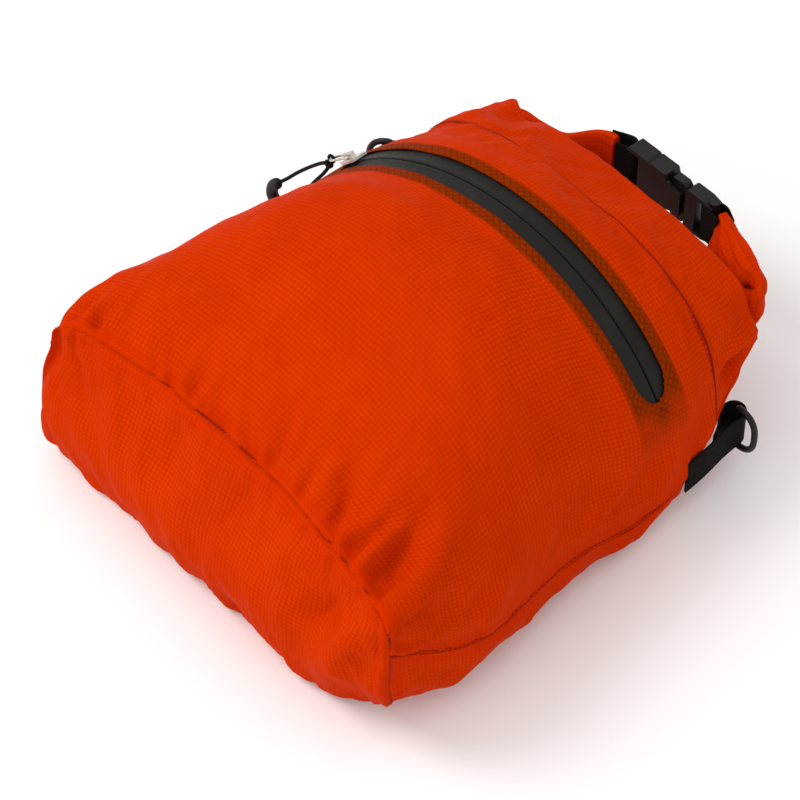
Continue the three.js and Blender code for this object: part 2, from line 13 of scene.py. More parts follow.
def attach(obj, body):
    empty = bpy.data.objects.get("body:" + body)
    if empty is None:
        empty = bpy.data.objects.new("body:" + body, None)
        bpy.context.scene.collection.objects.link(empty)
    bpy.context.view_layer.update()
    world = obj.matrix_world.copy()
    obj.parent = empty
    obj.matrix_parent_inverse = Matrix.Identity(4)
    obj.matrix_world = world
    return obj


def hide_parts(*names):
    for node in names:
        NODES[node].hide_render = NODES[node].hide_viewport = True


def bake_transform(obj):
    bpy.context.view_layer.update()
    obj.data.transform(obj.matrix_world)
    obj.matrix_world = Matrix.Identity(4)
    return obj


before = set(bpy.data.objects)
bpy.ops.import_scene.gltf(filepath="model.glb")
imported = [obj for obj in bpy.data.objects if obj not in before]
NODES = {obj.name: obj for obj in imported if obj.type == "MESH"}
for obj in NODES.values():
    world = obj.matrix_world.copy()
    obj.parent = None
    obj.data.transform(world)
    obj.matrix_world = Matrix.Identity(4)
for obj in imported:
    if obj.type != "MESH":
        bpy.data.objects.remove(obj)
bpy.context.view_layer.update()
MM = 0.001

# ---- the bag's driving dimensions, the same as the CAD's ----

BODY_LENGTH = 245
BASE_Y = -122
HEM_AT = 0.872
STATIONS = [0, 0.2, 0.45, 0.75, 1]
HALF_WIDTH = [119.5, 123, 113.5, 109, 91]
CROWN = [89, 115.5, 141, 128, 100]
WIDEST_AT = [66, 38, 30, 21, 64]
SQUARENESS = [5.7, 3.06, 2.27, 2.28, 3.4]
LEFT_SEAM = [66, 52, 46, 44, 66]
BACK_SQUARENESS = [5.2, 4, 3.8, 3.6, 3.2]
MOUTH_LIFT = 52
LIFT_FROM = 0.64
FLAT_CUT = 5
BASE_INSET = 15.3
BASE_BULGE = 11
EAR_REACH = 3  # how far the mouth's ends stand out past the collar's sides

# ---- the zip, cord, buckle, roll and tabs: where they are follows the CAD ----

ZIP_CENTRE = np.array([-1.6, 40, 6])
ZIP_RADIUS = 127
ZIP_AXIS = np.array([-0.0782, 0.994, -0.0762])
ZIP_FROM, ZIP_TO = -0.82, 0.9  # angles from the crown
ZIP_TAPE, ZIP_WINDOW, ZIP_SADDLE = 15.5, 9, 27  # half-widths: the tapes, the opening over them, the flat by them
ZIP_PITCH = 1.35
SLIDER_ANGLE = ZIP_FROM + 0.045
COIL_OVER = -2.3  # the coil's lowest height over the zip's arc

WEB_WIDTH = 20
BUCKLE_Y, BUCKLE_Z = 151, 79.5
# the straps' routes from root to tail: across the bag, from the buckle's middle, and up where they aren't level
FEMALE_STRAP = [(-31, 0.3, -0.6), (-28.5, 1.1, -0.4), (-25, 2.4), (-20, 4.2), (-16.5, 2.9), (-14.4, 2.6), (-12.4, 1.7),
                (-11.6, 0), (-12.4, -1.7), (-14.4, -2.6), (-17.4, -2.9), (-21, -4), (-23.6, -4.9)]
MALE_STRAP = [(48.4, 1, -1), (45, 2.6, -0.5), (42, 3.8), (38.5, 4), (34.5, 3.3), (31.8, 2.2), (30.8, 0), (31.8, -2.2),
              (34.5, -3.3), (38.5, -4), (41.5, -4.4), (43.8, -4.8)]
RING_HALF, RING_REACH, RING_WIRE = 12.4, 11.4, 1.58  # half the bar, depth of the bow, radius

# the pull, in the slider's own frame: along the zip, along its axis, and out of the bag
WIRE_BAR, WIRE_TILT, WIRE_RADIUS = (-1.2, 2.65), 0.1, 0.6
WIRE = [(0.05, -1.5), (0.05, 0), (0.05, 1.5), (-4, 1.95), (-8, 2.35), (-11.3, 2.3), (-13.2, 1.35), (-13.85, 0),
        (-13.2, -1.35), (-11.3, -2.3), (-8, -2.35), (-4, -1.95)]
HITCH, HITCH_RADIUS, HITCH_CORD = (-14.98, 4.03), 1.78, 0.74  # the cord's ring round the wire's end
CORD_RADIUS, KNOT_CORD = 0.95, 0.85
KNOT = [-18.7, 0, 2.15]
UPPER_STRAND = [(-20.7, 0, 3), (-26, 0.6, 3.4), (-36, 1, 3.2), (-48, 1, 2.4), (-58, 0.6, 1.2), (-66.5, 0, 0.6)]
LOWER_STRAND = [(-20.4, 0, 0.7), (-26, -0.6, -1.4), (-36, -1, -4), (-48, -1, -7.4), (-58, -0.6, -10.2),
                (-66, 0, -11.4)]
GRIP_ROUTE = [(-65.4, 0, 0.6), (-71, 0, 0), (-75, 0, -3.4), (-75, 0, -7.8), (-71.4, 0, -11.2), (-65, 0, -11.5)]
# the roll's ends, seen from above
LEFT_ARM = [(-75.5, 128.2), (-80, 128.4), (-84.4, 132.8), (-81, 137.6), (-70, 139.2), (-56, 141), (-40, 145),
            (-30, 147.4), (-25, 148.2)]
# its last point is 3 mm further towards the buckle than in the CAD, to close the gap at the strap
RIGHT_ARM = [(75.5, 128.2), (79.5, 128.2), (83.4, 132.4), (79.4, 136.8), (70, 139.6), (60, 143.6), (52, 146.6),
             (42.6, 150.4)]
CLIMB, DIP = 8.5, -8  # how far the arms rise to the buckle, and how far the left one sags first
# name, arm, body, seed, how much its height varies, and how far its inner face stands out
ARMS = [("left", LEFT_ARM, "carry_loop", 151, 0, 3), ("right", RIGHT_ARM, "loop_free_end", 171, 8, 10)]
ROLL_LOW, ROLL_HIGH, ROLL_THICK, ROLL_HALF, ROLL_Y = 60, 82, 7.4, 74, 128.2
ROLL_MIDDLE = (ROLL_LOW + ROLL_HIGH) / 2
TUCK_Y, TUCK_Z = 123.2, 64.0  # where the collars go in under the roll
# name, side, place of the bar, height, swing of the ring, then the webbing's root and tail about the bar
TABS = [
    ("right", 1, (101.5, 107.5), 24, 0, [(7.5, -40), (7.1, -33.5), (5.9, -23.5), (4.1, -12.5), (3.4, -5)],
     [(-6, -5.2), (-2.6, -9.6), (0.8, -14), (3.2, -18.6)]),
    ("left", -1, (113.6, 84.5), 51, 0.6, [(-3.2, -38), (-2.6, -28), (-0.4, -16), (2.6, -7)],
     [(-6.2, -5.2), (-4.8, -10), (-3.9, -15), (-3.8, -20)]),
]
TAB_LOOP = (-1.9, -0.5, 5.2)  # middle and radius of the webbing's turn round the bar

# ---- how the fabric gives, on top of the CAD's shape ----

CLOTH = 0.35  # thickness of the fabric as it shows
SEAM_GAP = 0.25  # half the gap between two panels, where the seam's core shows
HEM_GAP = 0.001  # the same at the hem, as a share of the bag's length
BAG_MIDDLE = (0, 0, 55)
CREST = 3.2  # gathers stand no higher than this
FOLD_GAIN = 2.1
TURNED_IN = 0.35  # how far the fabric's colour goes to the doubled one where it is turned in or rolled
TAPE_HALF, TAPE_ROOM, TAPE_SLOPE = 13, 0.6, 0.3  # how far the tape inside a seam reaches, and the sag over and past it
LOWEST = 0.05  # the fabric that the bag lies on comes no lower
# where the base's corners give: place, reach and move
CORNERS = [((114, -126, 0), 27, (-5, 9, 6)), ((-119, -122, 78), 20, (6, 2, -3)), ((-106, -127, 12), 30, (-5, -5, 1))]

# ---- camera and floor ----

CAMERA_AZIMUTH, CAMERA_ELEVATION = math.radians(48.62), math.radians(48.79)
CAMERA_TARGET, CAMERA_DISTANCE, CAMERA_LENS = Vector((0.001, -0.0111, 0.045)), 1.5, 147.9
FLOOR_HALF, FLOOR_Z = 4000, -0.3


# ---- numbers and curves ----

def smooth(t):
    """0 to 1, level at both ends."""
    t = np.clip(t, 0, 1)
    return t * t * (3 - 2 * t)


def bump(x, width):
    """1 at 0, falling away on both sides."""
    return np.exp(-(np.asarray(x) / width) ** 2)


def signed_power(x, power):
    return np.sign(x) * np.abs(x) ** power


def unit(vectors):
    """The vectors at length 1."""
    return vectors / np.linalg.norm(vectors, axis=-1, keepdims=True)


def profile(values, t):
    """A smooth curve through the values at STATIONS, with finite-difference slopes."""
    last = len(STATIONS) - 1
    k = min(max(int(np.searchsorted(STATIONS, t, side="left")) - 1, 0), last - 1)

    def slope(i):
        a, b = max(i - 1, 0), min(i + 1, last)
        return (values[b] - values[a]) / (STATIONS[b] - STATIONS[a])

    h = STATIONS[k + 1] - STATIONS[k]
    s = (t - STATIONS[k]) / h
    return ((2 * s ** 3 - 3 * s ** 2 + 1) * values[k] + (s ** 3 - 2 * s ** 2 + s) * h * slope(k)
            + (3 * s ** 2 - 2 * s ** 3) * values[k + 1] + (s ** 3 - s ** 2) * h * slope(k + 1))


def lattice(i, j, seed):
    """A repeatable value from -1 to 1 at each whole-number place."""
    h = np.sin(i * 127.1 + j * 311.7 + seed * 74.7) * 43758.5453
    return 2 * (h - np.floor(h)) - 1


def ripple(x, y, seed):
    """Smooth two-way noise from -1 to 1 with cells one unit wide."""
    x, y = np.broadcast_arrays(np.asarray(x, float), np.asarray(y, float))
    i, j = np.floor(x), np.floor(y)
    u, v = smooth(x - i), smooth(y - j)
    low = lattice(i, j, seed) * (1 - u) + lattice(i + 1, j, seed) * u
    high = lattice(i, j + 1, seed) * (1 - u) + lattice(i + 1, j + 1, seed) * u
    return low * (1 - v) + high * v


def measured(points):
    """Distance along a line of points."""
    return np.concatenate([[0], np.cumsum(np.linalg.norm(np.diff(points, axis=0), axis=1))])


def interpolated(at, places, points):
    """Points at some places along a line whose own points are at other places."""
    return np.stack([np.interp(at, places, points[:, k]) for k in range(3)], axis=1)


def resample(points, count, inset=0.0):
    """Evenly spaced points along a line, from a little way in at both ends."""
    lengths = measured(points)
    return interpolated(np.linspace(inset, lengths[-1] - inset, count), lengths, points)


def sideways(line):
    """Level unit vectors square to a line."""
    return unit(np.cross(np.gradient(line, axis=0), [0, 0, 1]))


def spline(route, count):
    """An even line of points on a smooth curve through the route."""
    route = np.asarray(route, float)
    ends = np.vstack([2 * route[0] - route[1], route, 2 * route[-1] - route[-2]])
    pieces = []
    for a, b, c, d in zip(ends[:-3], ends[1:-2], ends[2:-1], ends[3:]):
        t = np.linspace(0, 1, 24, endpoint=False)[:, None]
        pieces.append(0.5 * (2 * b + (c - a) * t + (2 * a - 5 * b + 4 * c - d) * t ** 2
                             + (3 * b - a - 3 * c + d) * t ** 3))
    return resample(np.vstack(pieces + [route[-1:]]), count)


# ---- the bag's surface ----

ZIP_AXIS = unit(ZIP_AXIS)
ZIP_UP = unit(np.cross([1, 0, 0], ZIP_AXIS))
ZIP_ACROSS = np.cross(ZIP_AXIS, ZIP_UP)


def on_zip(angle, over=0.0, along=0.0):
    """Points at angles from the crown, heights over the zip's arc and distances along its axis."""
    angle, over, along = (np.asarray(a, float)[..., None] for a in np.broadcast_arrays(angle, over, along))
    return (ZIP_CENTRE + ZIP_ACROSS * np.sin(angle) * (ZIP_RADIUS + over)
            + ZIP_UP * np.cos(angle) * (ZIP_RADIUS + over) + ZIP_AXIS * along)


def zip_places(points):
    """Angle, height over the arc and distance along the axis of each point."""
    rel = points - ZIP_CENTRE
    along = rel @ ZIP_AXIS
    radial = rel - along[..., None] * ZIP_AXIS
    return np.arctan2(radial @ ZIP_ACROSS, radial @ ZIP_UP), np.linalg.norm(radial, axis=-1) - ZIP_RADIUS, along


def saddle(points):
    """Pulls the points beside the zip onto its arc."""
    angle, over, along = zip_places(points)
    ends = smooth((angle - ZIP_FROM + 0.3) / 0.25) * smooth((ZIP_TO + 0.26 - angle) / 0.2)
    pull = np.exp(-((along / ZIP_SADDLE) ** 4)) * ends
    radial = unit(points - ZIP_CENTRE - along[:, None] * ZIP_AXIS)
    return points - radial * (over * pull)[:, None]


def section(t):
    """The front and back halves of the cross-section at a share of the length."""
    half, crown, wide = profile(HALF_WIDTH, t), profile(CROWN, t), profile(WIDEST_AT, t)
    power = 2 / profile(SQUARENESS, t)
    under = MOUTH_LIFT * np.clip((t - LIFT_FROM) / (1 - LIFT_FROM), 0, 1) ** 1.6
    a = np.pi * np.arange(401) / 400
    cos, sin = -np.cos(a), np.abs(np.sin(a))
    x = half * signed_power(cos, power)
    inset = (1 - (x / half) ** 2) * (BASE_INSET * (1 - t) ** 3 + 1.8 * t ** 3)
    front = saddle(np.stack([x, BASE_Y + t * BODY_LENGTH + inset, wide + (crown - wide) * sin ** power], axis=1))
    back_power = 2 / profile(BACK_SQUARENESS, t)
    xb = half * signed_power(cos, back_power)
    zb = np.maximum(wide - (wide - under + FLAT_CUT) * sin ** back_power, under)
    back = np.stack([xb, np.full_like(xb, BASE_Y + t * BODY_LENGTH), zb], axis=1)
    # the mouth's ends stand out, and its edge dips and turns beside the left one
    ear = EAR_REACH * smooth((t - 0.9) / 0.1)
    for line in (front, back):
        line[:, 0] += np.sign(line[:, 0]) * ear * bump(line[:, 2] - wide, 13)
    near_mouth = smooth((t - 0.93) / 0.07)
    front[:, 2] -= 6 * near_mouth * bump(front[:, 0] + 61, 9)
    front[:, 1] += 5 * near_mouth * bump(front[:, 0] + 75, 7) * (front[:, 2] > wide + 12)
    split = int(np.argmax(front[:, 2] >= profile(LEFT_SEAM, t)))
    return front[split:], np.vstack([front[:split + 1][::-1], back])


def grid_from(side, low, high, rows, cols):
    """Rows of points over the front (0) or back (1) of the bag between two shares of its length."""
    return np.stack([resample(section(t)[side], cols, SEAM_GAP) for t in np.linspace(low, high, rows)])


def normals_of(grid):
    """Unit normals of a grid of points, out of the bag."""
    n = np.cross(np.gradient(grid, axis=0), np.gradient(grid, axis=1))
    n /= np.maximum(np.linalg.norm(n, axis=2), 1e-9)[..., None]
    flip = np.sum(n * (grid - np.array(BAG_MIDDLE)), axis=2) < 0
    n[flip] *= -1
    return n


def row_lengths(grid):
    """Distance of each point from the start of its row."""
    step = np.linalg.norm(np.diff(grid, axis=1), axis=2)
    return np.concatenate([np.zeros((len(grid), 1)), np.cumsum(step, axis=1)], axis=1)


def edge_places(grid):
    """For each point of a side-to-side grid: distance to the left, to the right, and to the first row."""
    left = row_lengths(grid)
    from_first = np.broadcast_to(measured(grid[:, grid.shape[1] // 2])[:, None], left.shape)
    return left, left[:, -1:] - left, from_first


def fold(points, start, end, width, depth):
    """Height of one crease between two points: a valley where depth is negative, fading at both ends."""
    a, b = np.array(start, float), np.array(end, float)
    along = np.clip((points - a) @ (b - a) / ((b - a) @ (b - a)), 0, 1)
    away = np.linalg.norm(points - a - along[..., None] * (b - a), axis=-1) / width
    fade = (smooth(along / 0.25) * 0.6 + 0.4) * (0.15 + 0.85 * smooth((1 - along) / 0.8))
    return FOLD_GAIN * depth * fade * (np.exp(-away ** 1.15) - 0.35 * bump(away - 2.2, 0.9))


def puckers(distance, place, seed, height):
    """Gathers that run away from a seam: short and close beside it, longer and wider further off."""
    fine = ripple(place / 4.2, distance / 30, seed) * np.exp(-distance / 5)
    middle = ripple(place / 9.5, distance / 60, seed + 1) * np.exp(-distance / 13)
    broad = ripple(place / 23, distance / 90, seed + 2) * np.exp(-distance / 34)
    start = 1 - np.exp(-distance / 1.6)
    crisp = 0.8 * np.exp(-distance / 13) - 2.2 * np.abs(middle) ** 0.85
    return height * start * (0.7 * fine - crisp + 1.3 * broad)


def crumple(points, seed):
    """Sharp-edged creases of thin coated fabric, at three sizes."""
    x, y = points[..., 0] + 0.4 * points[..., 2], points[..., 1] - 0.5 * points[..., 2]
    x, y = x + 5 * ripple(x / 31, y / 31, seed), y + 5 * ripple(x / 27, y / 27, seed + 1)
    total = 0
    for size, height in ((30, 1.5), (14, 1.1), (7, 0.6)):
        total = total + height * (0.35 - np.abs(ripple(x / size, y / size * 0.7, seed + size)))
    return total


def seam_wander(points):
    """A small shift that depends only on the place, so panels that meet stay together."""
    x, y, z = points[..., 0] / 16, points[..., 1] / 16, points[..., 2] / 16
    shift = np.stack([ripple(y + z, z, 3), ripple(x + z, z, 4), ripple(x + y, y, 5)], axis=-1)
    points = points + 0.55 * shift
    for corner, size, move in CORNERS:
        points = points + bump(np.linalg.norm(points - corner, axis=-1), size)[..., None] * move
    return points


# creases that start at the base seam, the corners and the side seam: start, end, width, depth
FRONT_FOLDS = [
    ((80, -114, 91), (88, -82, 108), 3.5, -5.5), ((91, -116, 92), (89, -78, 109), 3.2, 4),
    ((46, -110, 91), (38, -88, 104), 2.6, -2.6), ((52, -110, 91), (47, -86, 104), 2.6, 1.8),
    ((103, -118, 92), (92, -70, 112), 7, -7.5), ((112, -119, 80), (111, -80, 92), 5, 3),
    ((116, -119, 74), (119, -88, 70), 6, -4.5), ((66, -111, 90), (52, -72, 111), 4, -2.6),
    ((74, -111, 90), (66, -88, 100), 3, 1.4), ((25, -108, 90), (13, -76, 106), 3, -2.2),
    ((-30, -108, 90), (-38, -84, 103), 3, -1.8), ((-92, -114, 90), (-95, -96, 98), 3, -2.6),
    ((-108, -118, 84), (-106, -88, 98), 4, -2.4), ((119, -108, 52), (120, -60, 44), 5, -2.6),
    ((121, -90, 42), (116, -40, 62), 6, 1.8), ((111, 0, 34), (106, 40, 62), 6, 1.6),
    ((110, 10, 30), (98, 80, 74), 5, -1.2), ((113, -30, 36), (108, 2, 62), 5, -1.3),
]
BACK_FOLDS = [
    ((121, -100, 48), (112, -60, 4), 6, -2.5), ((118, -60, 36), (108, -20, 3), 6, 2),
    ((110, 30, 24), (98, 60, 4), 6, -2),
]
BASE_FOLDS = [
    ((86, -124, 78), (62, -131, 18), 7, -3.2), ((101, -122, 70), (84, -130, 30), 5, 2),
    ((20, -112, 84), (4, -132, 40), 8, -2.4), ((60, -116, 86), (38, -132, 46), 6, 1.8),
    ((-30, -112, 84), (-26, -132, 34), 8, -2.2), ((-70, -118, 80), (-50, -131, 30), 7, 2),
    ((-104, -122, 76), (-76, -130, 44), 5, -2.6), ((112, -121, 62), (96, -127, 12), 6, -2.8),
    ((-110, -121, 52), (-92, -127, 14), 6, 2), ((0, -124, 10), (30, -132, 36), 9, 1.6),
]
COLLAR_FOLDS = [
    ((92, 121, 70), (86, 92, 66), 5, 3), ((88, 120, 78), (60, 98, 104), 5, -2.2),
    ((-92, 121, 70), (-86, 96, 80), 5, 2.4), ((-80, 120, 88), (-50, 102, 108), 6, -1.6),
    ((40, 122, 94), (20, 96, 117), 7, 1.5), ((94, 112, 62), (100, 88, 52), 5, -2.4),
]


def relief(grid, seams, folds, seed, swell=0.7, creased=0.5, taped=()):
    """Moves a panel's grid along its normals: gathers at its seams, single creases and broad unevenness.

    Each seam is the distance to it, the place along it, and the height of its gathers.
    """
    normals = normals_of(grid)
    rise = swell * (ripple(grid[..., 0] / 46, grid[..., 1] / 46, seed) + 0.5 * ripple(
        grid[..., 0] / 21, (grid[..., 1] + grid[..., 2]) / 21, seed + 7))
    near = np.full(grid.shape[:2], 1e3)
    for n, (distance, place, height) in enumerate(seams):
        rise = rise + puckers(distance, place, seed + 20 * n, height)
        near = np.minimum(near, distance)
    for start, end, width, depth in folds:
        rise = rise + fold(grid, start, end, width, depth) * smooth(near / 8)
    rise = rise + crumple(grid, seed + 3) * (creased + (2.8 - creased) * np.exp(-near / 18)) * smooth(near / 6)
    rise = np.where(rise > 0, CREST * np.tanh(rise / CREST), rise) * smooth(near / 1.5)
    for distance in taped:  # the seam tape inside keeps the fabric out
        rise = np.maximum(rise, -TAPE_ROOM - TAPE_SLOPE * np.maximum(distance - TAPE_HALF, 0))
    angle, over, along = zip_places(grid)
    flat_by_zip = 1 - np.exp(-((along / 24) ** 4)) * smooth((angle - ZIP_FROM + 0.1) / 0.1) * smooth(
        (ZIP_TO + 0.25 - angle) / 0.15) * (np.abs(over) < 12)
    return grid + normals * (rise * flat_by_zip)[..., None]


# ---- meshes ----

def make_mesh(name, vertices, faces, uvs=None, values=None):
    """uvs: name to one (u, v) per vertex, in millimetres. values: name to one number per vertex."""
    mesh = bpy.data.meshes.new(name)
    mesh.from_pydata((np.asarray(vertices) * MM).tolist(), [], faces)
    loops = np.zeros(len(mesh.loops), int)
    mesh.loops.foreach_get("vertex_index", loops)
    for key, uv in (uvs or {}).items():
        layer = mesh.uv_layers.new(name=key)
        layer.data.foreach_set("uv", (np.asarray(uv)[loops] * MM).astype(np.float32).ravel())
    for key, value in (values or {}).items():
        mesh.attributes.new(key, "FLOAT", "POINT").data.foreach_set("value", np.asarray(value, np.float32))
    mesh.polygons.foreach_set("use_smooth", [True] * len(mesh.polygons))
    mesh.update()
    piece = bpy.data.objects.new(name, mesh)
    bpy.context.scene.collection.objects.link(piece)
    return piece


def grid_faces(rows, cols, wrap=False):
    """Four-sided faces between rows of points, which wrap round where each row is a ring."""
    i, j = np.meshgrid(np.arange(rows - 1), np.arange(cols if wrap else cols - 1), indexing="ij")
    k = (j + 1) % cols
    return np.stack([i * cols + j, i * cols + k, (i + 1) * cols + k, (i + 1) * cols + j], axis=-1).reshape(-1, 4)


def tube_faces(rows, sides, first=0):
    """The faces of a closed tube of rings of points, of which the first point has that number."""
    ends = [list(range(sides))[::-1], list(range((rows - 1) * sides, rows * sides))]
    return (grid_faces(rows, sides, wrap=True) + first).tolist() + [[first + k for k in end] for end in ends]


def outward(piece, middle=(0, 0, 0)):
    """Turns the faces to point away from the middle, for the thickness and the shading."""
    mesh = piece.data
    middle = Vector(middle) * MM
    if sum(f.normal.dot(f.center - middle) * f.area for f in mesh.polygons) < 0:
        mesh.flip_normals()
    return piece


def thicken(piece, thickness=CLOTH):
    """Gives a sheet its thickness, on its inner side."""
    solid = piece.modifiers.new("thickness", "SOLIDIFY")
    solid.thickness = thickness * MM
    solid.offset = -1
    return piece


def grid_uv(grid):
    """Cloth coordinates in millimetres: across from each row's middle, and along the middle column."""
    across = row_lengths(grid)
    middle = grid.shape[1] // 2
    along = measured(grid[:, middle])
    return np.stack([across - across[:, middle:middle + 1], np.broadcast_to(along[:, None], across.shape)], axis=-1)


def cloth_from(name, grid, values, keep=None, extra_uv=None):
    """A panel of fabric from a grid of points; keep marks the faces that stay."""
    rows, cols = grid.shape[:2]
    faces = grid_faces(rows, cols)
    if keep is not None:
        faces = faces[keep[faces].any(axis=1)]
    uvs = {"cloth": grid_uv(grid).reshape(-1, 2)}
    uvs.update(extra_uv or {})
    used = np.unique(faces)
    renumber = np.zeros(rows * cols, int)
    renumber[used] = np.arange(len(used))
    piece = make_mesh(name, grid.reshape(-1, 3)[used], renumber[faces].tolist(),
                      {key: uv[used] for key, uv in uvs.items()},
                      {key: np.ravel(value)[used] for key, value in values.items()})
    return thicken(outward(piece, BAG_MIDDLE))


def tube_points(line, radius, sides, squash=1.0):
    """Rings of points round a line, without twist; radius may vary along it."""
    tangent = unit(np.gradient(line, axis=0))
    side = np.cross(tangent[0], [0.31, 0.22, 0.92])  # any direction that no tube here starts in
    a = np.linspace(0, 2 * np.pi, sides, endpoint=False)[:, None]
    rings = []
    for p, t, r in zip(line, tangent, np.broadcast_to(radius, len(line))):
        side = unit(side - t * (side @ t))
        rings.append(p + r * (np.cos(a) * side + np.sin(a) * np.cross(t, side) * squash))
    return np.stack(rings)


def capped(name, rings, uvs=None):
    """A closed mesh from rings of points, with a face at each end."""
    return outward(make_mesh(name, rings.reshape(-1, 3), tube_faces(*rings.shape[:2]), uvs))


def capsules(name, tubes):
    """One mesh of many short closed tubes, each given by its rings of points."""
    vertices, faces = [], []
    for rings in tubes:
        faces.extend(tube_faces(*rings.shape[:2], len(vertices)))
        vertices.extend(rings.reshape(-1, 3))
    return outward(make_mesh(name, vertices, faces))


def pairs(across, along):
    """Cloth coordinates of rings or rows of points, from one coordinate across and one along them."""
    return np.stack(np.broadcast_arrays(across, along), axis=-1).reshape(-1, 2)


def tube(name, line, radius, sides):
    """A closed tube round a line, with cloth coordinates round and along it."""
    turn = np.linspace(0, 2 * np.pi, sides, endpoint=False)
    uv = pairs(turn[None, :] * radius, measured(line)[:, None])
    return capped(name, tube_points(line, radius, sides), {"cloth": uv})


def joined(name, pieces):
    """One object made of several."""
    bpy.ops.object.select_all(action="DESELECT")
    for piece in pieces:
        piece.select_set(True)
    bpy.context.view_layer.objects.active = pieces[0]
    bpy.ops.object.join()
    pieces[0].name = name
    pieces[0].data.name = name
    return pieces[0]


def stitches(name, line, normals, pitch=3.0, length=2.1, thread=0.3, lift=0.1):
    """A row of short thread capsules along a line on a surface."""
    along = measured(line)
    arch = np.array([-0.25, 0.12, 0.2, 0.12, -0.25]) + lift
    radius = np.array([0.5, 1, 1, 1, 0.5]) * thread
    tubes = []
    for start in np.arange(pitch / 2, along[-1] - length, pitch):
        at = np.linspace(start, start + length, len(arch))
        path = interpolated(at, along, line) + arch[:, None] * interpolated(at, along, normals)
        tubes.append(tube_points(path, radius, 6))
    return capsules(name, tubes)


# ---- materials ----

def srgb(r, g, b):
    """A screen colour from 0 to 255 as the linear colour that shaders take."""
    return tuple(((c / 255 + 0.055) / 1.055) ** 2.4 if c > 10 else c / 255 / 12.92 for c in (r, g, b)) + (1.0,)


class Paint:
    """A material whose nodes are added by short calls."""

    def __init__(self, name, colour, roughness, metallic=0.0, specular=0.5):
        self.material = bpy.data.materials.new(name)
        self.material.use_nodes = True
        self.tree = self.material.node_tree
        self.shader = self.tree.nodes["Principled BSDF"]
        for socket, value in (("Base Color", colour), ("Roughness", roughness), ("Metallic", metallic),
                              ("Specular IOR Level", specular)):
            self.shader.inputs[socket].default_value = value

    def node(self, kind, settings=None, **inputs):
        """A node with its settings and inputs; an input's name is its socket's, or i and the socket's number."""
        node = self.tree.nodes.new(kind)
        for key, value in (settings or {}).items():
            setattr(node, key, value)
        for key, value in inputs.items():
            socket = node.inputs[int(key[1:]) if key[1:].isdigit() and key[0] == "i" else key.replace("_", " ")]
            if isinstance(value, bpy.types.NodeSocket):
                self.tree.links.new(value, socket)
            else:
                socket.default_value = value
        return node

    # the calls from here on give a socket to use as an input of the next
    def math(self, operation, a, b=0.0):
        return self.node("ShaderNodeMath", {"operation": operation}, i0=a, i1=b).outputs[0]

    def times(self, a, b):
        return self.math("MULTIPLY", a, b)

    def mix(self, share, a, b):
        """Colour a turning to b as share goes from 0 to 1."""
        return self.node("ShaderNodeMix", {"data_type": "RGBA"}, i0=share, i6=a, i7=b).outputs[2]

    def tint(self, colour, other, share, most):
        """The colour turned to the other, by most of the way where share is 1."""
        return self.mix(self.times(share, most), colour, other)

    def spread(self, value, low, high, to_low=0.0, to_high=1.0):
        """The value with the range low to high moved to another range, and held inside it."""
        return self.node("ShaderNodeMapRange", None, Value=value, From_Min=low, From_Max=high, To_Min=to_low,
                         To_Max=to_high).outputs[0]

    def bands(self, where, scale, distortion, direction="X"):
        return self.node("ShaderNodeTexWave", {"bands_direction": direction}, Vector=where, Scale=scale,
                         Distortion=distortion).outputs["Fac"]

    def turned(self, where, angle):
        return self.node("ShaderNodeMapping", None, Vector=where, Rotation=(0, 0, angle)).outputs[0]

    def uv(self, name):
        return self.node("ShaderNodeUVMap", {"uv_map": name}).outputs[0]

    def place(self):
        return self.node("ShaderNodeTexCoord").outputs["Object"]

    def value(self, name):
        return self.node("ShaderNodeAttribute", {"attribute_name": name}).outputs["Fac"]

    def noise(self, scale, detail=3.0, roughness=0.55):
        return self.node("ShaderNodeTexNoise", None, Vector=self.place(), Scale=scale, Detail=detail,
                         Roughness=roughness).outputs[0]

    def lines(self, where, pitch, share, turn=0.0):
        """1 on the lines of a square net of that pitch in millimetres, 0 between them."""
        turned = self.turned(where, turn)
        brick = self.node("ShaderNodeTexBrick", {"offset": 0.0, "squash": 1.0}, Vector=turned,
                          Color1=(0, 0, 0, 1), Color2=(0, 0, 0, 1), Mortar=(1, 1, 1, 1), Scale=1 / MM,
                          Mortar_Size=share * pitch / 2, Mortar_Smooth=0.6, Brick_Width=pitch, Row_Height=pitch)
        return brick.outputs["Fac"]

    def finish(self, colour, roughness=None, height=None, distance=0.1, strength=1.0):
        """Links the shader; distance is the bump's height in millimetres."""
        self.tree.links.new(colour, self.shader.inputs["Base Color"])
        if roughness is not None:
            self.tree.links.new(roughness, self.shader.inputs["Roughness"])
        if height is not None:
            raised = self.node("ShaderNodeBump", None, Strength=strength, Distance=distance * MM, Height=height)
            self.tree.links.new(raised.outputs[0], self.shader.inputs["Normal"])
        return self.material


ORANGE = srgb(199, 52, 0)
ORANGE_DEEP = srgb(168, 24, 0)
ORANGE_CLOUD = srgb(191, 47, 0)
ORANGE_DOUBLED = srgb(190, 40, 0)  # more than one layer, or tape, behind the fabric
THROUGH = srgb(122, 42, 0)  # the zip tape seen through the fabric
CHARCOAL = srgb(52, 52, 48)
BLACK = srgb(27, 25, 24)
RIPSTOP_PITCH, WEAVE_PITCH = 2.3, 0.42


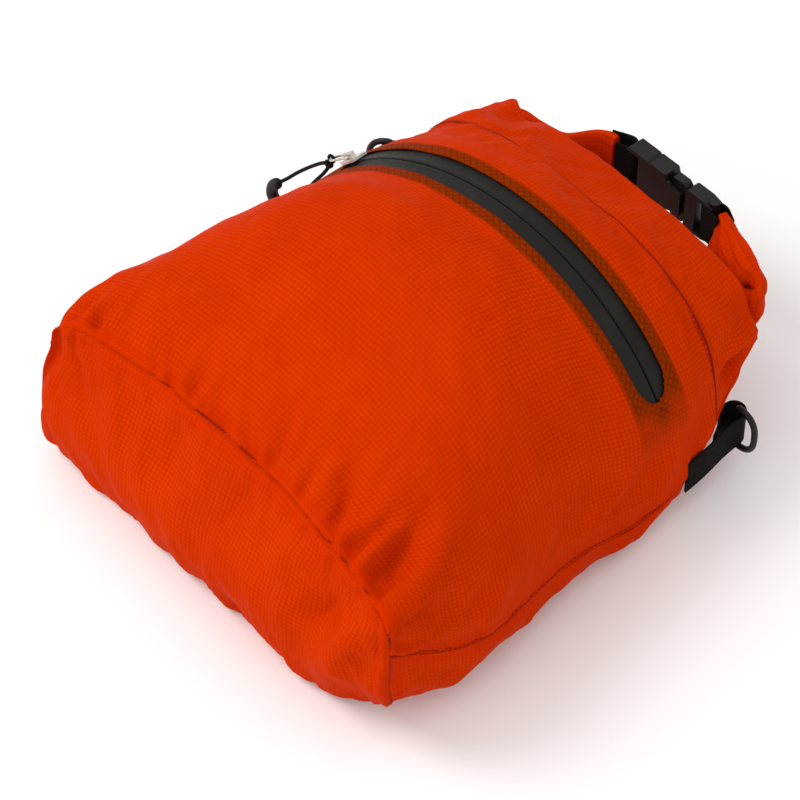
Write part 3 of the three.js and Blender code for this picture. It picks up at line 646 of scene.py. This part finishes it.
def fabric_material(name, has_zip=False):
    """Ripstop: a net of doubled threads on a fine weave, fine crinkles, and darker fabric over the zip's tape."""
    paint = Paint(name, ORANGE, 0.55, specular=0.006)
    paint.shader.inputs["Specular Tint"].default_value = (1.0, 0.3, 0.02, 1.0)
    cloth = paint.uv("cloth")
    net = paint.lines(cloth, RIPSTOP_PITCH, 0.15)
    weave = paint.lines(cloth, WEAVE_PITCH, 0.5)
    cloud = paint.noise(28, 4)
    speck = paint.noise(420, 2)
    colour = paint.mix(paint.spread(cloud, 0.35, 0.7), ORANGE, ORANGE_CLOUD)
    colour = paint.tint(colour, ORANGE_DEEP, net, 0.85)
    colour = paint.tint(colour, ORANGE_DEEP, weave, 0.1)
    colour = paint.tint(colour, ORANGE_DOUBLED, paint.value("doubled"), 0.55)
    if has_zip:
        diamonds = paint.lines(paint.uv("zip"), 2.9, 0.3, turn=math.pi / 4)
        band = paint.value("band")
        dark = paint.tint(THROUGH, srgb(58, 28, 4), diamonds, 0.6)
        dark = paint.tint(dark, srgb(80, 22, 2), net, 0.35)
        colour = paint.mix(band, colour, dark)
    rough = paint.spread(speck, 0.3, 0.7, 0.44, 0.56)
    height = paint.math("ADD", paint.times(net, 0.7), paint.times(weave, 0.25))
    crinkle = paint.math("ABSOLUTE", paint.math("SUBTRACT", paint.noise(55, 4, 0.6), 0.5))
    height = paint.math("SUBTRACT", height, paint.times(crinkle, 22.0))
    return paint.finish(colour, rough, height, distance=0.12, strength=0.6)


def thread_material(name, colour, dark):
    paint = Paint(name, colour, 0.7, specular=0.1)
    twist = paint.bands(paint.place(), 900, 1.0, "DIAGONAL")
    return paint.finish(paint.mix(twist, colour, dark), height=twist, distance=0.08)


def webbing_material():
    paint = Paint("webbing", BLACK, 0.8, specular=0.04)
    cloth = paint.uv("cloth")
    ribs = paint.bands(cloth, 330, 0.0)
    twill = paint.bands(paint.turned(cloth, 0.9), 230, 0.4)
    fuzz = paint.noise(900, 3)
    height = paint.math("ADD", paint.times(ribs, 0.6), paint.times(twill, 0.7))
    # darker where the ribs and twill lie low: painted shade in the weave's grooves; the fuzz lightens it at random
    colour = paint.tint(paint.mix(height, srgb(5, 5, 5), srgb(24, 22, 20)), srgb(36, 33, 30), fuzz, 0.25)
    return paint.finish(colour, paint.spread(fuzz, 0.3, 0.7, 0.64, 0.82), height, distance=0.25, strength=0.8)


def plastic_material(name, colour, roughness=0.36):
    paint = Paint(name, colour, roughness, specular=0.26)
    grain = paint.noise(2600, 2)
    wear = paint.noise(120, 5)
    shade = paint.mix(paint.spread(wear, 0.4, 0.75, 0, 0.35), colour, srgb(30, 27, 25))
    rough = paint.spread(paint.noise(300, 3), 0.3, 0.7, roughness - 0.06, roughness + 0.1)
    return paint.finish(shade, rough, grain, distance=0.03, strength=0.5)


def metal_material():
    paint = Paint("nickel", srgb(205, 198, 188), 0.26, metallic=1.0)
    pits = paint.noise(1500, 3)
    tarnish = paint.noise(260, 4)
    colour = paint.mix(paint.spread(tarnish, 0.45, 0.75, 0, 0.5), srgb(212, 205, 196), srgb(150, 138, 122))
    return paint.finish(colour, paint.spread(tarnish, 0.3, 0.7, 0.2, 0.38), pits, distance=0.03, strength=0.4)


def zip_material():
    paint = Paint("zip_strip", CHARCOAL, 0.55, specular=0.12)
    grain = paint.lines(paint.uv("cloth"), 0.5, 0.45)
    blotch = paint.noise(60, 3)
    colour = paint.mix(paint.spread(blotch, 0.35, 0.7), srgb(32, 31, 28), srgb(25, 24, 22))
    colour = paint.tint(colour, srgb(9, 9, 8), paint.value("join"), 0.85)
    rough = paint.spread(paint.noise(500, 3), 0.3, 0.7, 0.45, 0.6)
    return paint.finish(colour, rough, paint.times(grain, 0.5), distance=0.06, strength=0.5)


def cord_material():
    paint = Paint("cord", BLACK, 0.75, specular=0.08)
    braid = paint.lines(paint.uv("cloth"), 0.55, 0.35, turn=math.pi / 4)
    fuzz = paint.noise(1500, 2)
    # nearly black on the braid's lines, which are its grooves: painted shade
    colour = paint.tint(srgb(24, 22, 20), srgb(6, 6, 6), braid, 0.7)
    return paint.finish(colour, paint.spread(fuzz, 0.3, 0.7, 0.6, 0.8), paint.math("SUBTRACT", 1.0, braid),
                        distance=0.15, strength=0.8)


FABRIC = fabric_material("fabric")
FRONT_FABRIC = fabric_material("front_fabric", has_zip=True)
THREAD = thread_material("orange_thread", srgb(168, 30, 0), srgb(120, 16, 0))
BLACK_THREAD = thread_material("black_thread", srgb(44, 42, 41), srgb(14, 13, 13))
WEBBING = webbing_material()
PLASTIC = plastic_material("black_acetal", srgb(17, 14, 13))
RUBBER = plastic_material("soft_grip", srgb(24, 22, 21), 0.55)
STRIP_PLASTIC = plastic_material("stiffener", srgb(70, 70, 68), 0.55)
NICKEL = metal_material()
ZIP_STRIP = zip_material()
CORD_BLACK = cord_material()


def dress(piece, material, body=None, stands_for=()):
    """Gives a piece its finish and its body, and hides the CAD nodes that it stands for."""
    piece.data.materials.clear()
    piece.data.materials.append(material)
    if body:
        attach(piece, body)
    if stands_for:
        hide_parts(*stands_for)
    return piece


# ---- camera, floor and light ----

def place_facing(name, data, location, away):
    """A camera or light that looks back along a direction."""
    item = bpy.data.objects.new(name, data)
    item.location = location
    item.rotation_euler = (-away).to_track_quat("-Z", "Y").to_euler()
    bpy.context.scene.collection.objects.link(item)
    return item


def add_camera():
    away = Vector((math.sin(CAMERA_AZIMUTH) * math.cos(CAMERA_ELEVATION),
                   -math.cos(CAMERA_AZIMUTH) * math.cos(CAMERA_ELEVATION), math.sin(CAMERA_ELEVATION)))
    data = bpy.data.cameras.new("camera")
    data.lens, data.sensor_width = CAMERA_LENS, 36
    data.clip_end = 20
    bpy.context.scene.camera = place_facing("camera", data, CAMERA_TARGET + away * CAMERA_DISTANCE, away)


def add_light(name, place, size, power):
    """A round soft light, in metres and watts, aimed at the bag."""
    data = bpy.data.lights.new(name, "AREA")
    data.shape, data.size, data.energy = "DISK", size, power
    place_facing(name, data, place, Vector(place) - Vector((0, 0, 0.05)))


def add_studio():
    corners = [(x * FLOOR_HALF, y * FLOOR_HALF, FLOOR_Z) for x, y in ((-1, -1), (1, -1), (1, 1), (-1, 1))]
    floor = make_mesh("floor", corners, [[0, 1, 2, 3]])
    paint = Paint("floor", (0.92, 0.915, 0.91, 1), 0.85, specular=0.1)
    cloud = paint.noise(3, 2)
    floor.data.materials.append(paint.finish(paint.mix(cloud, (0.93, 0.93, 0.93, 1), (0.9, 0.9, 0.895, 1))))
    world = bpy.data.worlds.new("studio")
    world.use_nodes = True
    sky = world.node_tree.nodes["Background"]
    sky.inputs[0].default_value, sky.inputs[1].default_value = (1.0, 0.99, 0.98, 1), 0.93
    bpy.context.scene.world = world
    add_light("key", (-0.75, -0.75, 1.35), size=0.8, power=11)
    add_light("fill", (0.1, -1.7, 0.7), size=1.4, power=5.5)
    bpy.context.scene.view_settings.view_transform = "Standard"


# ---- the fabric body ----

def window_level(across, along):
    """Under 0 inside the zip's window, over 0 outside it: about the distance to its edge."""
    low, high = (ZIP_FROM + 0.02) * ZIP_RADIUS + 6, ZIP_TO * ZIP_RADIUS - 9
    reach = np.sqrt((along / ZIP_WINDOW) ** 2 + (np.maximum(across - high, 0) / 14) ** 2
                    + (np.maximum(low - across, 0) / 6) ** 2)
    return (reach - 1) * ZIP_WINDOW


def cut_window(grid):
    """Moves the points near the window's edge onto it, and marks the points outside."""
    angle, over, along = zip_places(grid)
    across = angle * ZIP_RADIUS
    near_arc = np.abs(over) < 15
    for _ in range(3):
        level = window_level(across, along)
        step = 0.01
        gx = (window_level(across + step, along) - level) / step
        gy = (window_level(across, along + step) - level) / step
        size = np.maximum(gx ** 2 + gy ** 2, 1e-6)
        snap = near_arc & (np.abs(level) / np.sqrt(size) < 0.75)
        across = np.where(snap, across - level * gx / size, across)
        along = np.where(snap, along - level * gy / size, along)
    moved = on_zip(across / ZIP_RADIUS, over, along)
    outside = ~near_arc | (window_level(across, along) > 0.05)
    return np.where(snap[..., None], moved, grid), outside, across, along


def band_strength(across, along, over):
    """How dark the zip tape makes the fabric over it."""
    sides = smooth((ZIP_TAPE + 0.8 - np.abs(along)) / 1.6)
    low, high = (ZIP_FROM - 0.06) * ZIP_RADIUS, ZIP_TO * ZIP_RADIUS
    ends = smooth((across - low) / 4) * (1 - 0.62 * smooth((across - high - 1) / 12))
    ends = ends * smooth((high + 31 - across) / 14)
    stop = bump(across - high - 11, 5.5) * bump(along, 5.5)  # the weld over the coil's end
    return np.clip(0.86 * sides * ends + 0.5 * stop, 0, 0.95) * (np.abs(over) < 14)


def doubled_near(*seams):
    """1 beside each seam, within its own reach, where the fabric is turned in and doubled."""
    return np.max([smooth((reach - distance) / 2) for distance, reach in seams], axis=0)


def add_front():
    """The panel with the zip's window, as a grid of points that the seams follow."""
    grid = grid_from(0, 0, HEM_AT - HEM_GAP, 168, 238)
    left, right, base = edge_places(grid)
    seams = [(base, left, 1.7), (left, base, 1.1), (right, base, 1.5), (base[-1] - base, left, 0.4)]
    shaped = seam_wander(relief(grid, seams, FRONT_FOLDS, 11, taped=(left, right)))
    shaped, outside, across, along = cut_window(shaped)
    over = zip_places(shaped)[1]
    values = {"band": band_strength(across, along, over), "doubled": doubled_near((base, 9), (left, 8), (right, 8))}
    zip_uv = np.stack([across, along], axis=-1).reshape(-1, 2)
    front = cloth_from("front_panel_cloth", shaped, values, outside.ravel(), {"zip": zip_uv})
    dress(front, FRONT_FABRIC, "bag", ["front_panel"])
    return shaped


def add_back():
    """The panel that the bag lies on, flat underneath, as a grid of points."""
    grid = grid_from(1, 0, HEM_AT - HEM_GAP, 130, 170)
    left, right, base = edge_places(grid)
    seams = [(base, left, 0.8), (left, base, 0.8), (right, base, 1.0)]
    shaped = seam_wander(relief(grid, seams, BACK_FOLDS, 41, taped=(left, right)))
    shaped[..., 2] = np.maximum(shaped[..., 2], LOWEST)
    back = cloth_from("back_panel_cloth", shaped, {"doubled": doubled_near((base, 9), (left, 8), (right, 8))})
    dress(back, FABRIC, "bag", ["back_panel"])
    return shaped


def add_base():
    """The oval between the front's rim and the back's, bulging out."""
    front, back = section(0)
    cols, rows = 190, 78
    share = (1 - np.cos(np.linspace(0.02, np.pi - 0.02, cols))) / 2
    x = HALF_WIDTH[0] * (2 * share - 1)
    top = interpolated(x, front[:, 0], front)
    lower = back[int(np.argmax(np.diff(back[:, 0]) > 0)):]
    bottom = interpolated(x, lower[:, 0], lower)
    v = np.linspace(0, 1, rows)[:, None]
    grid = bottom[None] * (1 - v[..., None]) + top[None] * v[..., None]
    pull = smooth((v - 0.35) / 0.65)
    grid[..., 1] = bottom[None, :, 1] * (1 - pull) + top[None, :, 1] * pull
    open_at = 1 - np.abs(x / HALF_WIDTH[0]) ** 6
    grid[..., 1] -= BASE_BULGE * np.sin(np.pi * v ** 0.85) ** 0.7 * open_at[None]
    height = np.linalg.norm(top - bottom, axis=1)
    rim = np.minimum(np.minimum(v * height[None], (1 - v) * height[None]), (HALF_WIDTH[0] - 0.03 - np.abs(x))[None])
    rim = np.maximum(rim, 0)
    place = np.broadcast_to(measured(top)[None], rim.shape)
    shaped = seam_wander(relief(grid, [(rim, place, 1.8)], BASE_FOLDS, 71, swell=1.1, creased=1.1))
    shaped[..., 2] = np.maximum(shaped[..., 2], LOWEST)
    base = cloth_from("base_panel_cloth", shaped, {"doubled": 0.7 * doubled_near((rim, 8))})
    dress(base, FABRIC, "bag", ["base_panel"])


def mouth_strip(edge, bottom, rows):
    """Fabric that turns over the mouth's edge and runs in under the roll."""
    v = np.linspace(0, 1, rows)[1:, None, None]
    strip = edge[None] * (1 - v) + bottom[None] * v
    strip[..., 1] += 1.1 * np.sin(np.pi * v[..., 0] ** 0.5)
    return strip


def add_collars():
    """The fabric from the hem to the mouth and in under the roll."""
    rows = 34
    for side, name, cols in ((0, "collar_front", 220), (1, "collar_back", 170)):
        grid = grid_from(side, HEM_AT + 0.8 * HEM_GAP, 1, rows, cols)
        left, right, hem = edge_places(grid)
        shaped = relief(grid, [(hem, left, 0.25), (left, hem, 0.5), (right, hem, 0.7)],
                        COLLAR_FOLDS, 91 + 10 * side, swell=0.8)
        edge = shaped[-1]
        inner = np.stack([edge[:, 0] * 0.97, np.full(cols, TUCK_Y), TUCK_Z + (edge[:, 2] - TUCK_Z) * 0.05], axis=1)
        shaped = seam_wander(np.concatenate([shaped, mouth_strip(edge, inner, 14)]))
        left, right, _ = edge_places(shaped)
        turned = np.zeros(shaped.shape[:2])
        turned[:rows] = smooth((12 - (hem[-1:] - hem)) / 3)
        doubled = np.maximum(TURNED_IN * turned, doubled_near((left, 6), (right, 6)))
        piece = cloth_from(name + "_cloth", shaped, {"doubled": doubled})
        dress(piece, FABRIC, None, [name])
        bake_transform(piece)


def add_seams(front, back):
    """Thread along the base, side and hem seams, and a dark core where two panels meet."""
    normal = normals_of(front)
    pieces = [stitches("base_stitches", front[0] + normal[0] * 0.1 + [0, 0.9, 0], normal[2], pitch=2.6)]
    for edge, inner, name in ((0, 1, "left_stitches"), (-1, -2, "right_stitches")):
        line = front[:, edge] + (front[:, inner] - front[:, edge]) * 0.7
        pieces.append(stitches(name, line, normal[:, inner], pitch=2.8))
    pieces.append(stitches("hem_stitches", front[-1] - [0, 1.5, 0], normal[-2], pitch=2.8))
    dress(joined("seam_stitches", pieces), THREAD, "bag")
    cores = [("base_core", np.vstack([front[0], back[0][::-1]]), 300, [0, 0.4, -0.2], 0.38),
             ("left_core", front[:, 0], 120, [0.6, 0, 0], 0.38), ("right_core", front[:, -1], 120, [-0.6, 0, 0], 0.38),
             ("hem_core", front[-1], 200, -0.5 * normal[-1, 0], 0.45)]
    cores = [tube(name, resample(line, count) + shift, radius, 6) for name, line, count, shift, radius in cores]
    dress(joined("seam_cores", cores), THREAD, "bag")


# ---- the zip, its slider and the pull ----

def add_zip():
    """Two coated tapes that meet over the coil, and the coil's turns between them."""
    low, high = (ZIP_FROM - 0.05) * ZIP_RADIUS, (ZIP_TO + 0.06) * ZIP_RADIUS
    across = np.linspace(low, high, 620)[:, None]
    tooth = np.cos(2 * np.pi * across / ZIP_PITCH)
    for side, name in ((-1, "base_side"), (1, "mouth_side")):
        share = np.linspace(0, 1, 26)[None, :] ** 1.6
        edge = 0.26 + 0.1 * tooth
        out = edge + share * (ZIP_TAPE - 0.5 - edge)
        over = -1.3 + 0.35 * bump(out - 1.6, 1.8) - 0.5 * bump(out, 0.45) + 0.07 * tooth * bump(out - 1.2, 1.1)
        grid = on_zip(across / ZIP_RADIUS, over, side * out)
        piece = cloth_from("zip_" + name + "_strip", grid, {"join": bump(out, 0.75)})
        dress(piece, ZIP_STRIP, "bag", ["zip_tape_" + name])
    over, wide = COIL_OVER + np.array([0, 0.4, 0.5, 0.4, 0]), np.linspace(-1.3, 1.3, 5)
    turns = capsules("zip_coil_turns", [
        tube_points(on_zip(np.full(5, at / ZIP_RADIUS), over, wide), 0.42, 6)
        for at in np.arange((ZIP_FROM + 0.05) * ZIP_RADIUS, (ZIP_TO - 0.07) * ZIP_RADIUS, ZIP_PITCH)])
    strip = on_zip(across / ZIP_RADIUS, COIL_OVER - 0.4, np.array([[-2.4, -0.8, 0.8, 2.4]]))
    backing = make_mesh("zip_backing", strip.reshape(-1, 3), grid_faces(len(across), 4).tolist())
    backing = thicken(outward(backing, BAG_MIDDLE), 0.2)
    dress(joined("zip_coil_turns", [turns, backing]), PLASTIC, "bag", ["zip_coil"])


SLIDER_OUT = ZIP_ACROSS * math.sin(SLIDER_ANGLE) + ZIP_UP * math.cos(SLIDER_ANGLE)
SLIDER_ALONG = np.cross(ZIP_AXIS, SLIDER_OUT)


def by_slider(points):
    """Points in the slider's own frame: along the zip, along the zip's axis, and out of the bag."""
    points = np.asarray(points, float)
    return (on_zip(SLIDER_ANGLE) + points[..., :1] * SLIDER_ALONG + points[..., 1:2] * ZIP_AXIS
            + points[..., 2:] * SLIDER_OUT)


def hoop(name, line, radius, sides=12):
    """A closed tube round a flat loop of points."""
    line = np.asarray(line, float)
    up = unit(np.cross(line[1] - line[0], line[len(line) // 3] - line[0]))
    side = np.cross(unit(np.roll(line, -1, axis=0) - np.roll(line, 1, axis=0)), up)
    a = np.linspace(0, 2 * np.pi, sides, endpoint=False)[None, :, None]
    rings = line[:, None] + radius * (np.cos(a) * side[:, None] + np.sin(a) * up)
    rows = len(line)
    i, j = np.meshgrid(np.arange(rows), np.arange(sides), indexing="ij")
    near, far, k = i * sides, (i + 1) % rows * sides, (j + 1) % sides
    faces = np.stack([near + j, near + k, far + k, far + j], axis=-1).reshape(-1, 4)
    return outward(make_mesh(name, rings.reshape(-1, 3), faces.tolist()))


def closed_line(route, count):
    """An even closed line of points on a smooth curve through the route."""
    route = [route[-1], *route, route[0], route[1]]
    line = spline(route, count * 4)
    start = int(np.argmin(np.linalg.norm(line - np.array(route[1]), axis=1)[:count * 2]))
    stop = len(line) - 1 - int(np.argmin(np.linalg.norm(line - np.array(route[-2]), axis=1)[::-1][:count * 2]))
    return resample(line[start:stop + 1], count + 1)[:-1]


def add_pull():
    """The wire on the slider's bail, the cord's knot and strands, and the grip."""
    cos, sin = math.cos(WIRE_TILT), math.sin(WIRE_TILT)
    wire = closed_line([(WIRE_BAR[0] + x * cos, y, WIRE_BAR[1] - x * sin) for x, y in WIRE], 90)
    dress(hoop("puller_wire", by_slider(wire), WIRE_RADIUS), NICKEL, "puller", ["wire_puller"])

    t = np.linspace(0, 2 * np.pi, 40, endpoint=False)
    hitch = np.stack([HITCH[0] + HITCH_RADIUS * np.cos(t), 0 * t, HITCH[1] + HITCH_RADIUS * np.sin(t)], axis=1)
    t = np.linspace(0, 2 * np.pi, 90)
    reach = 1.15 + 0.62 * np.cos(3 * t)  # a trefoil
    wound = np.stack([reach * np.cos(2 * t), 0.75 * np.sin(3 * t), reach * np.sin(2 * t)], axis=1) + KNOT
    knot = joined("cord_knot_turns", [tube("knot_turns", by_slider(wound), KNOT_CORD, 10),
                                      hoop("knot_hitch", by_slider(hitch), HITCH_CORD)])
    dress(knot, CORD_BLACK, "pull_loop", ["cord_knot"])

    route = spline(GRIP_ROUTE, 60)
    share = np.linspace(0, 1, 60)
    radius = 2.6 + 0.3 * np.sin(np.pi * share) - 0.75 * np.exp(-share / 0.025) - 0.75 * np.exp(-(1 - share) / 0.025)
    grip = capped("pull_grip_moulded", by_slider(tube_points(route, radius, 20, 1.12)))
    dress(grip, RUBBER, "pull_loop", ["pull_grip"])
    for name, strand, end, at_end in (("pull_cord_upper", UPPER_STRAND, "fitting", grip),
                                      ("pull_cord_lower", LOWER_STRAND[::-1], "knot", knot)):
        line = by_slider(spline(strand, 40))
        piece = dress(tube(name + "_braid", line, CORD_RADIUS, 12), CORD_BLACK, "pull_loop", [name])


# ---- the rolled mouth ----

def rolled(name, line, heights, seed, creased, thick, belly=0.0):
    """Fabric wound into a flat sleeve that stands on edge along a line; belly is how far its inner face stands out."""
    out = sideways(line)
    a = np.linspace(0, 2 * np.pi, 64, endpoint=False)
    u, v = signed_power(np.cos(a), 0.7), signed_power(np.sin(a), 0.62)
    along = measured(line)[:, None]
    heights = np.broadcast_to(heights, len(line))[:, None]
    across = u[None, :] * heights / 2
    through = v[None, :] * thick / 2
    fan = across * (0.75 + 0.35 * along / along[-1])
    rise = (0.45 + 0.5 * ripple(along / 9 + 0.02 * across, across / 19, seed)
            - 1.7 * np.abs(ripple(fan / 5.2, along / 26, seed + 1)) + 0.5 * ripple(fan / 2.6, along / 17, seed + 5))
    # the edge of the fabric's last turn
    lap = (0.5 * smooth((across - 1.5) / 0.7) - 0.4 * bump(across - 1.2, 0.6)) * (through > 0)
    through = through + np.sign(through) * (rise * creased + lap) * np.minimum(1, np.abs(through) / 1.5)
    swollen = (1 - (across / heights * 2) ** 2) * (1 + 0.35 * ripple(fan / 6, along / 22, seed + 9))
    through = through - np.reshape(belly, (-1, 1)) * (through < 0) * swollen
    across = across * (1 + 0.02 * creased * ripple(along / 5, across * 0 + 3, seed + 2))
    rings = line[:, None] + across[..., None] * np.array([0, 0, 1.0]) + through[..., None] * out[:, None]
    around = measured(np.stack([u * (ROLL_HIGH - ROLL_LOW) / 2, v * ROLL_THICK / 2], axis=1))
    piece = capped(name, rings, {"cloth": pairs(around[None, :], along)})
    piece.data.attributes.new("doubled", "FLOAT", "POINT").data.foreach_set(
        "value", np.full(len(piece.data.vertices), TURNED_IN, np.float32))
    return piece


def add_roll():
    """The rolled mouth and its two ends, which turn back to the buckle."""
    height = ROLL_HIGH - ROLL_LOW
    x = np.linspace(-ROLL_HALF, ROLL_HALF, 150)
    line = np.stack([x, ROLL_Y - 0.4 * (x / ROLL_HALF) ** 2, np.full_like(x, ROLL_MIDDLE)], axis=1)
    roll = rolled("mouth_roll_cloth", line, height - 0.4, 131, 0.35, ROLL_THICK - 0.6)
    dress(roll, FABRIC, "carry_loop", ["mouth_roll"])
    for name, route, body, seed, uneven, belly in ARMS:
        arm = spline([(x, y, 0) for x, y in route], 130)
        x, y = arm[:, 0], arm[:, 1]
        if name == "left":
            share = smooth((x + 60) / 32)
            arm[:, 2] = ROLL_MIDDLE + CLIMB * share + DIP * smooth((y - 129) / 6) * (1 - share)
        else:
            arm[:, 2] = ROLL_MIDDLE + CLIMB * smooth((80 - x) / 40) + 3 * smooth((y - 130) / 8)
        along = measured(arm)
        share = along / along[-1]
        heights = height + 0.6 + uneven * (bump(share - 0.45, 0.25) - smooth((share - 0.7) / 0.3))
        belly = belly * smooth((along - 14) / 10) * smooth((along[-1] - along) / 18)
        piece = rolled("mouth_%s_end_cloth" % name, arm, heights, seed, 1.0, ROLL_THICK - 0.7, belly)
        dress(piece, FABRIC, body, ["mouth_roll_%s_end" % name])


# ---- webbing and D-rings ----

def strap(name, route, middle, body):
    """Webbing that stands on edge along a route, in place of its CAD node; gives its line and its normals."""
    line = spline([(x, y, middle + sum(up)) for x, y, *up in route], 120)
    out = sideways(line)
    half = WEB_WIDTH / 2 - 0.05
    edge = [(-half, 0.0), (-half + 0.1, 0.45), (-half + 0.5, 0.62), (-half + 1.1, 0.66)]
    top = edge + [(u, 0.6) for u in (-half + 1.9, -4.5, 0, 4.5, half - 1.9)] + [(-u, v) for u, v in edge[::-1]]
    outline = np.array(top + [(u, -v) for u, v in top[-2:0:-1]])
    rings = line[:, None] + outline[None, :, :1] * np.array([0, 0, 1.0]) + outline[None, :, 1:] * out[:, None]
    uv = pairs(outline[None, :, 0] + (outline[None, :, 1] < 0) * 2 * WEB_WIDTH, measured(line)[:, None])
    dress(capped(name + "_webbing", rings, {"cloth": uv}), WEBBING, body, [name])
    return line, out


def box_stitching(name, line, out, start, stop, body, side, half=7.6):
    """A sewn box with a cross in it on one face of a strap, between two distances along it."""
    along = measured(line)

    def on_strap(distance, height):
        normal = interpolated(distance, along, out) * side
        return interpolated(distance, along, line) + normal * 0.6 + height[:, None] * [0, 0, 1], normal

    a, b, c, d = (start, -half), (stop, -half), (stop, half), (start, half)
    rows = []
    t = np.linspace(0, 1, 24)
    for here, there in ((a, b), (b, c), (c, d), (d, a), (a, c), (d, b)):
        path, normal = on_strap(*(p + (q - p) * t for p, q in zip(here, there)))
        rows.append(stitches(name + "_stitching", path, normal, pitch=1.9, length=1.45, thread=0.22, lift=0.02))
    dress(joined(name + "_stitching", rows), BLACK_THREAD, body)


def add_webbing():
    """The two straps at the buckle, and a tab with a D-ring at each side."""
    for name, route, body, side in (("female_strap", FEMALE_STRAP, "carry_loop", -1),
                                    ("male_strap", MALE_STRAP, "loop_free_end", 1)):
        line, out = strap(name, [(x, BUCKLE_Y + y, *up) for x, y, *up in route], BUCKLE_Z, body)
        box_stitching(name, line, out, 1.5, 9, body, side)
    for name, side, (bar_x, bar_y), z, hang, root, tail in TABS:
        turn = np.pi * np.linspace(0, 1, 5)
        loop = [(TAB_LOOP[0] + TAB_LOOP[2] * math.cos(a), TAB_LOOP[1] + TAB_LOOP[2] * math.sin(a)) for a in turn]
        route = [((bar_x + x) * side, bar_y + dy) for x, dy in root + loop + tail]
        line, out = strap(name + "_tab", route, z, "bag")
        box_stitching(name + "_tab", line, out, 2, 13, "bag", side, half=7.8)
        turned = Matrix.Rotation(hang + (math.pi if side < 0 else 0), 3, "Z")
        bar = Vector((side * bar_x, bar_y, z))
        path = [tuple(turned @ Vector((x, 0, up)) + bar) for x, up in d_ring(RING_HALF, RING_REACH)]
        dress(hoop(name + "_d_ring", path, RING_WIRE, 16), PLASTIC, name + "_ring", [name + "_ring"])


def d_ring(half, reach, corner=1.6):
    """The middle line of a D: a straight bar at 0, bowed out to reach."""
    a = np.linspace(-np.pi / 2, np.pi / 2, 61)[2:-2]
    bow = list(zip(reach * signed_power(np.cos(a), 0.75), half * signed_power(np.sin(a), 0.75)))
    bar = [(0, half - corner - s * (2 * half - 2 * corner)) for s in np.linspace(0, 1, 12)]
    line = np.array([(*p, 0) for p in bow + [(0.35, half - 0.35)] + bar + [(0.35, -half + 0.35)]])
    line = np.vstack([line, line[:1]])
    return resample(line, 121)[:-1][:, :2]


def finish_nodes():
    """Edges and finishes on the CAD nodes that are kept as they are."""
    for node, material, slot_name, edge in (
            ("slider_body", NICKEL, "slider_metal", 0.22), ("buckle_female", PLASTIC, "black_plastic", 0.8),
            ("buckle_male", PLASTIC, "black_plastic", 0.7), ("prong_upper", PLASTIC, "black_plastic", 0.35),
            ("prong_lower", PLASTIC, "black_plastic", 0.35), ("mouth_stiffener", STRIP_PLASTIC, None, 0.3),
            ("zip_end_stop", PLASTIC, None, 0.15), ("zip_top_stop", PLASTIC, None, 0.15),
            ("left_side_seam_tape", FABRIC, None, 0), ("right_side_seam_tape", FABRIC, None, 0)):
        piece = dress(NODES[node], material)
        if edge:
            weld = piece.modifiers.new("weld", "WELD")
            weld.merge_threshold = 2e-5
            bevel = piece.modifiers.new("edges", "BEVEL")
            bevel.width, bevel.segments, bevel.limit_method, bevel.angle_limit = edge * MM, 3, "ANGLE", 0.6
            bevel.use_clamp_overlap = True
            piece.modifiers.new("shading", "WEIGHTED_NORMAL").keep_sharp = True


front_grid = add_front()
back_grid = add_back()
add_base()
add_collars()
add_seams(front_grid, back_grid)
add_zip()
add_pull()
add_roll()
add_webbing()
finish_nodes()

add_camera()
add_studio()
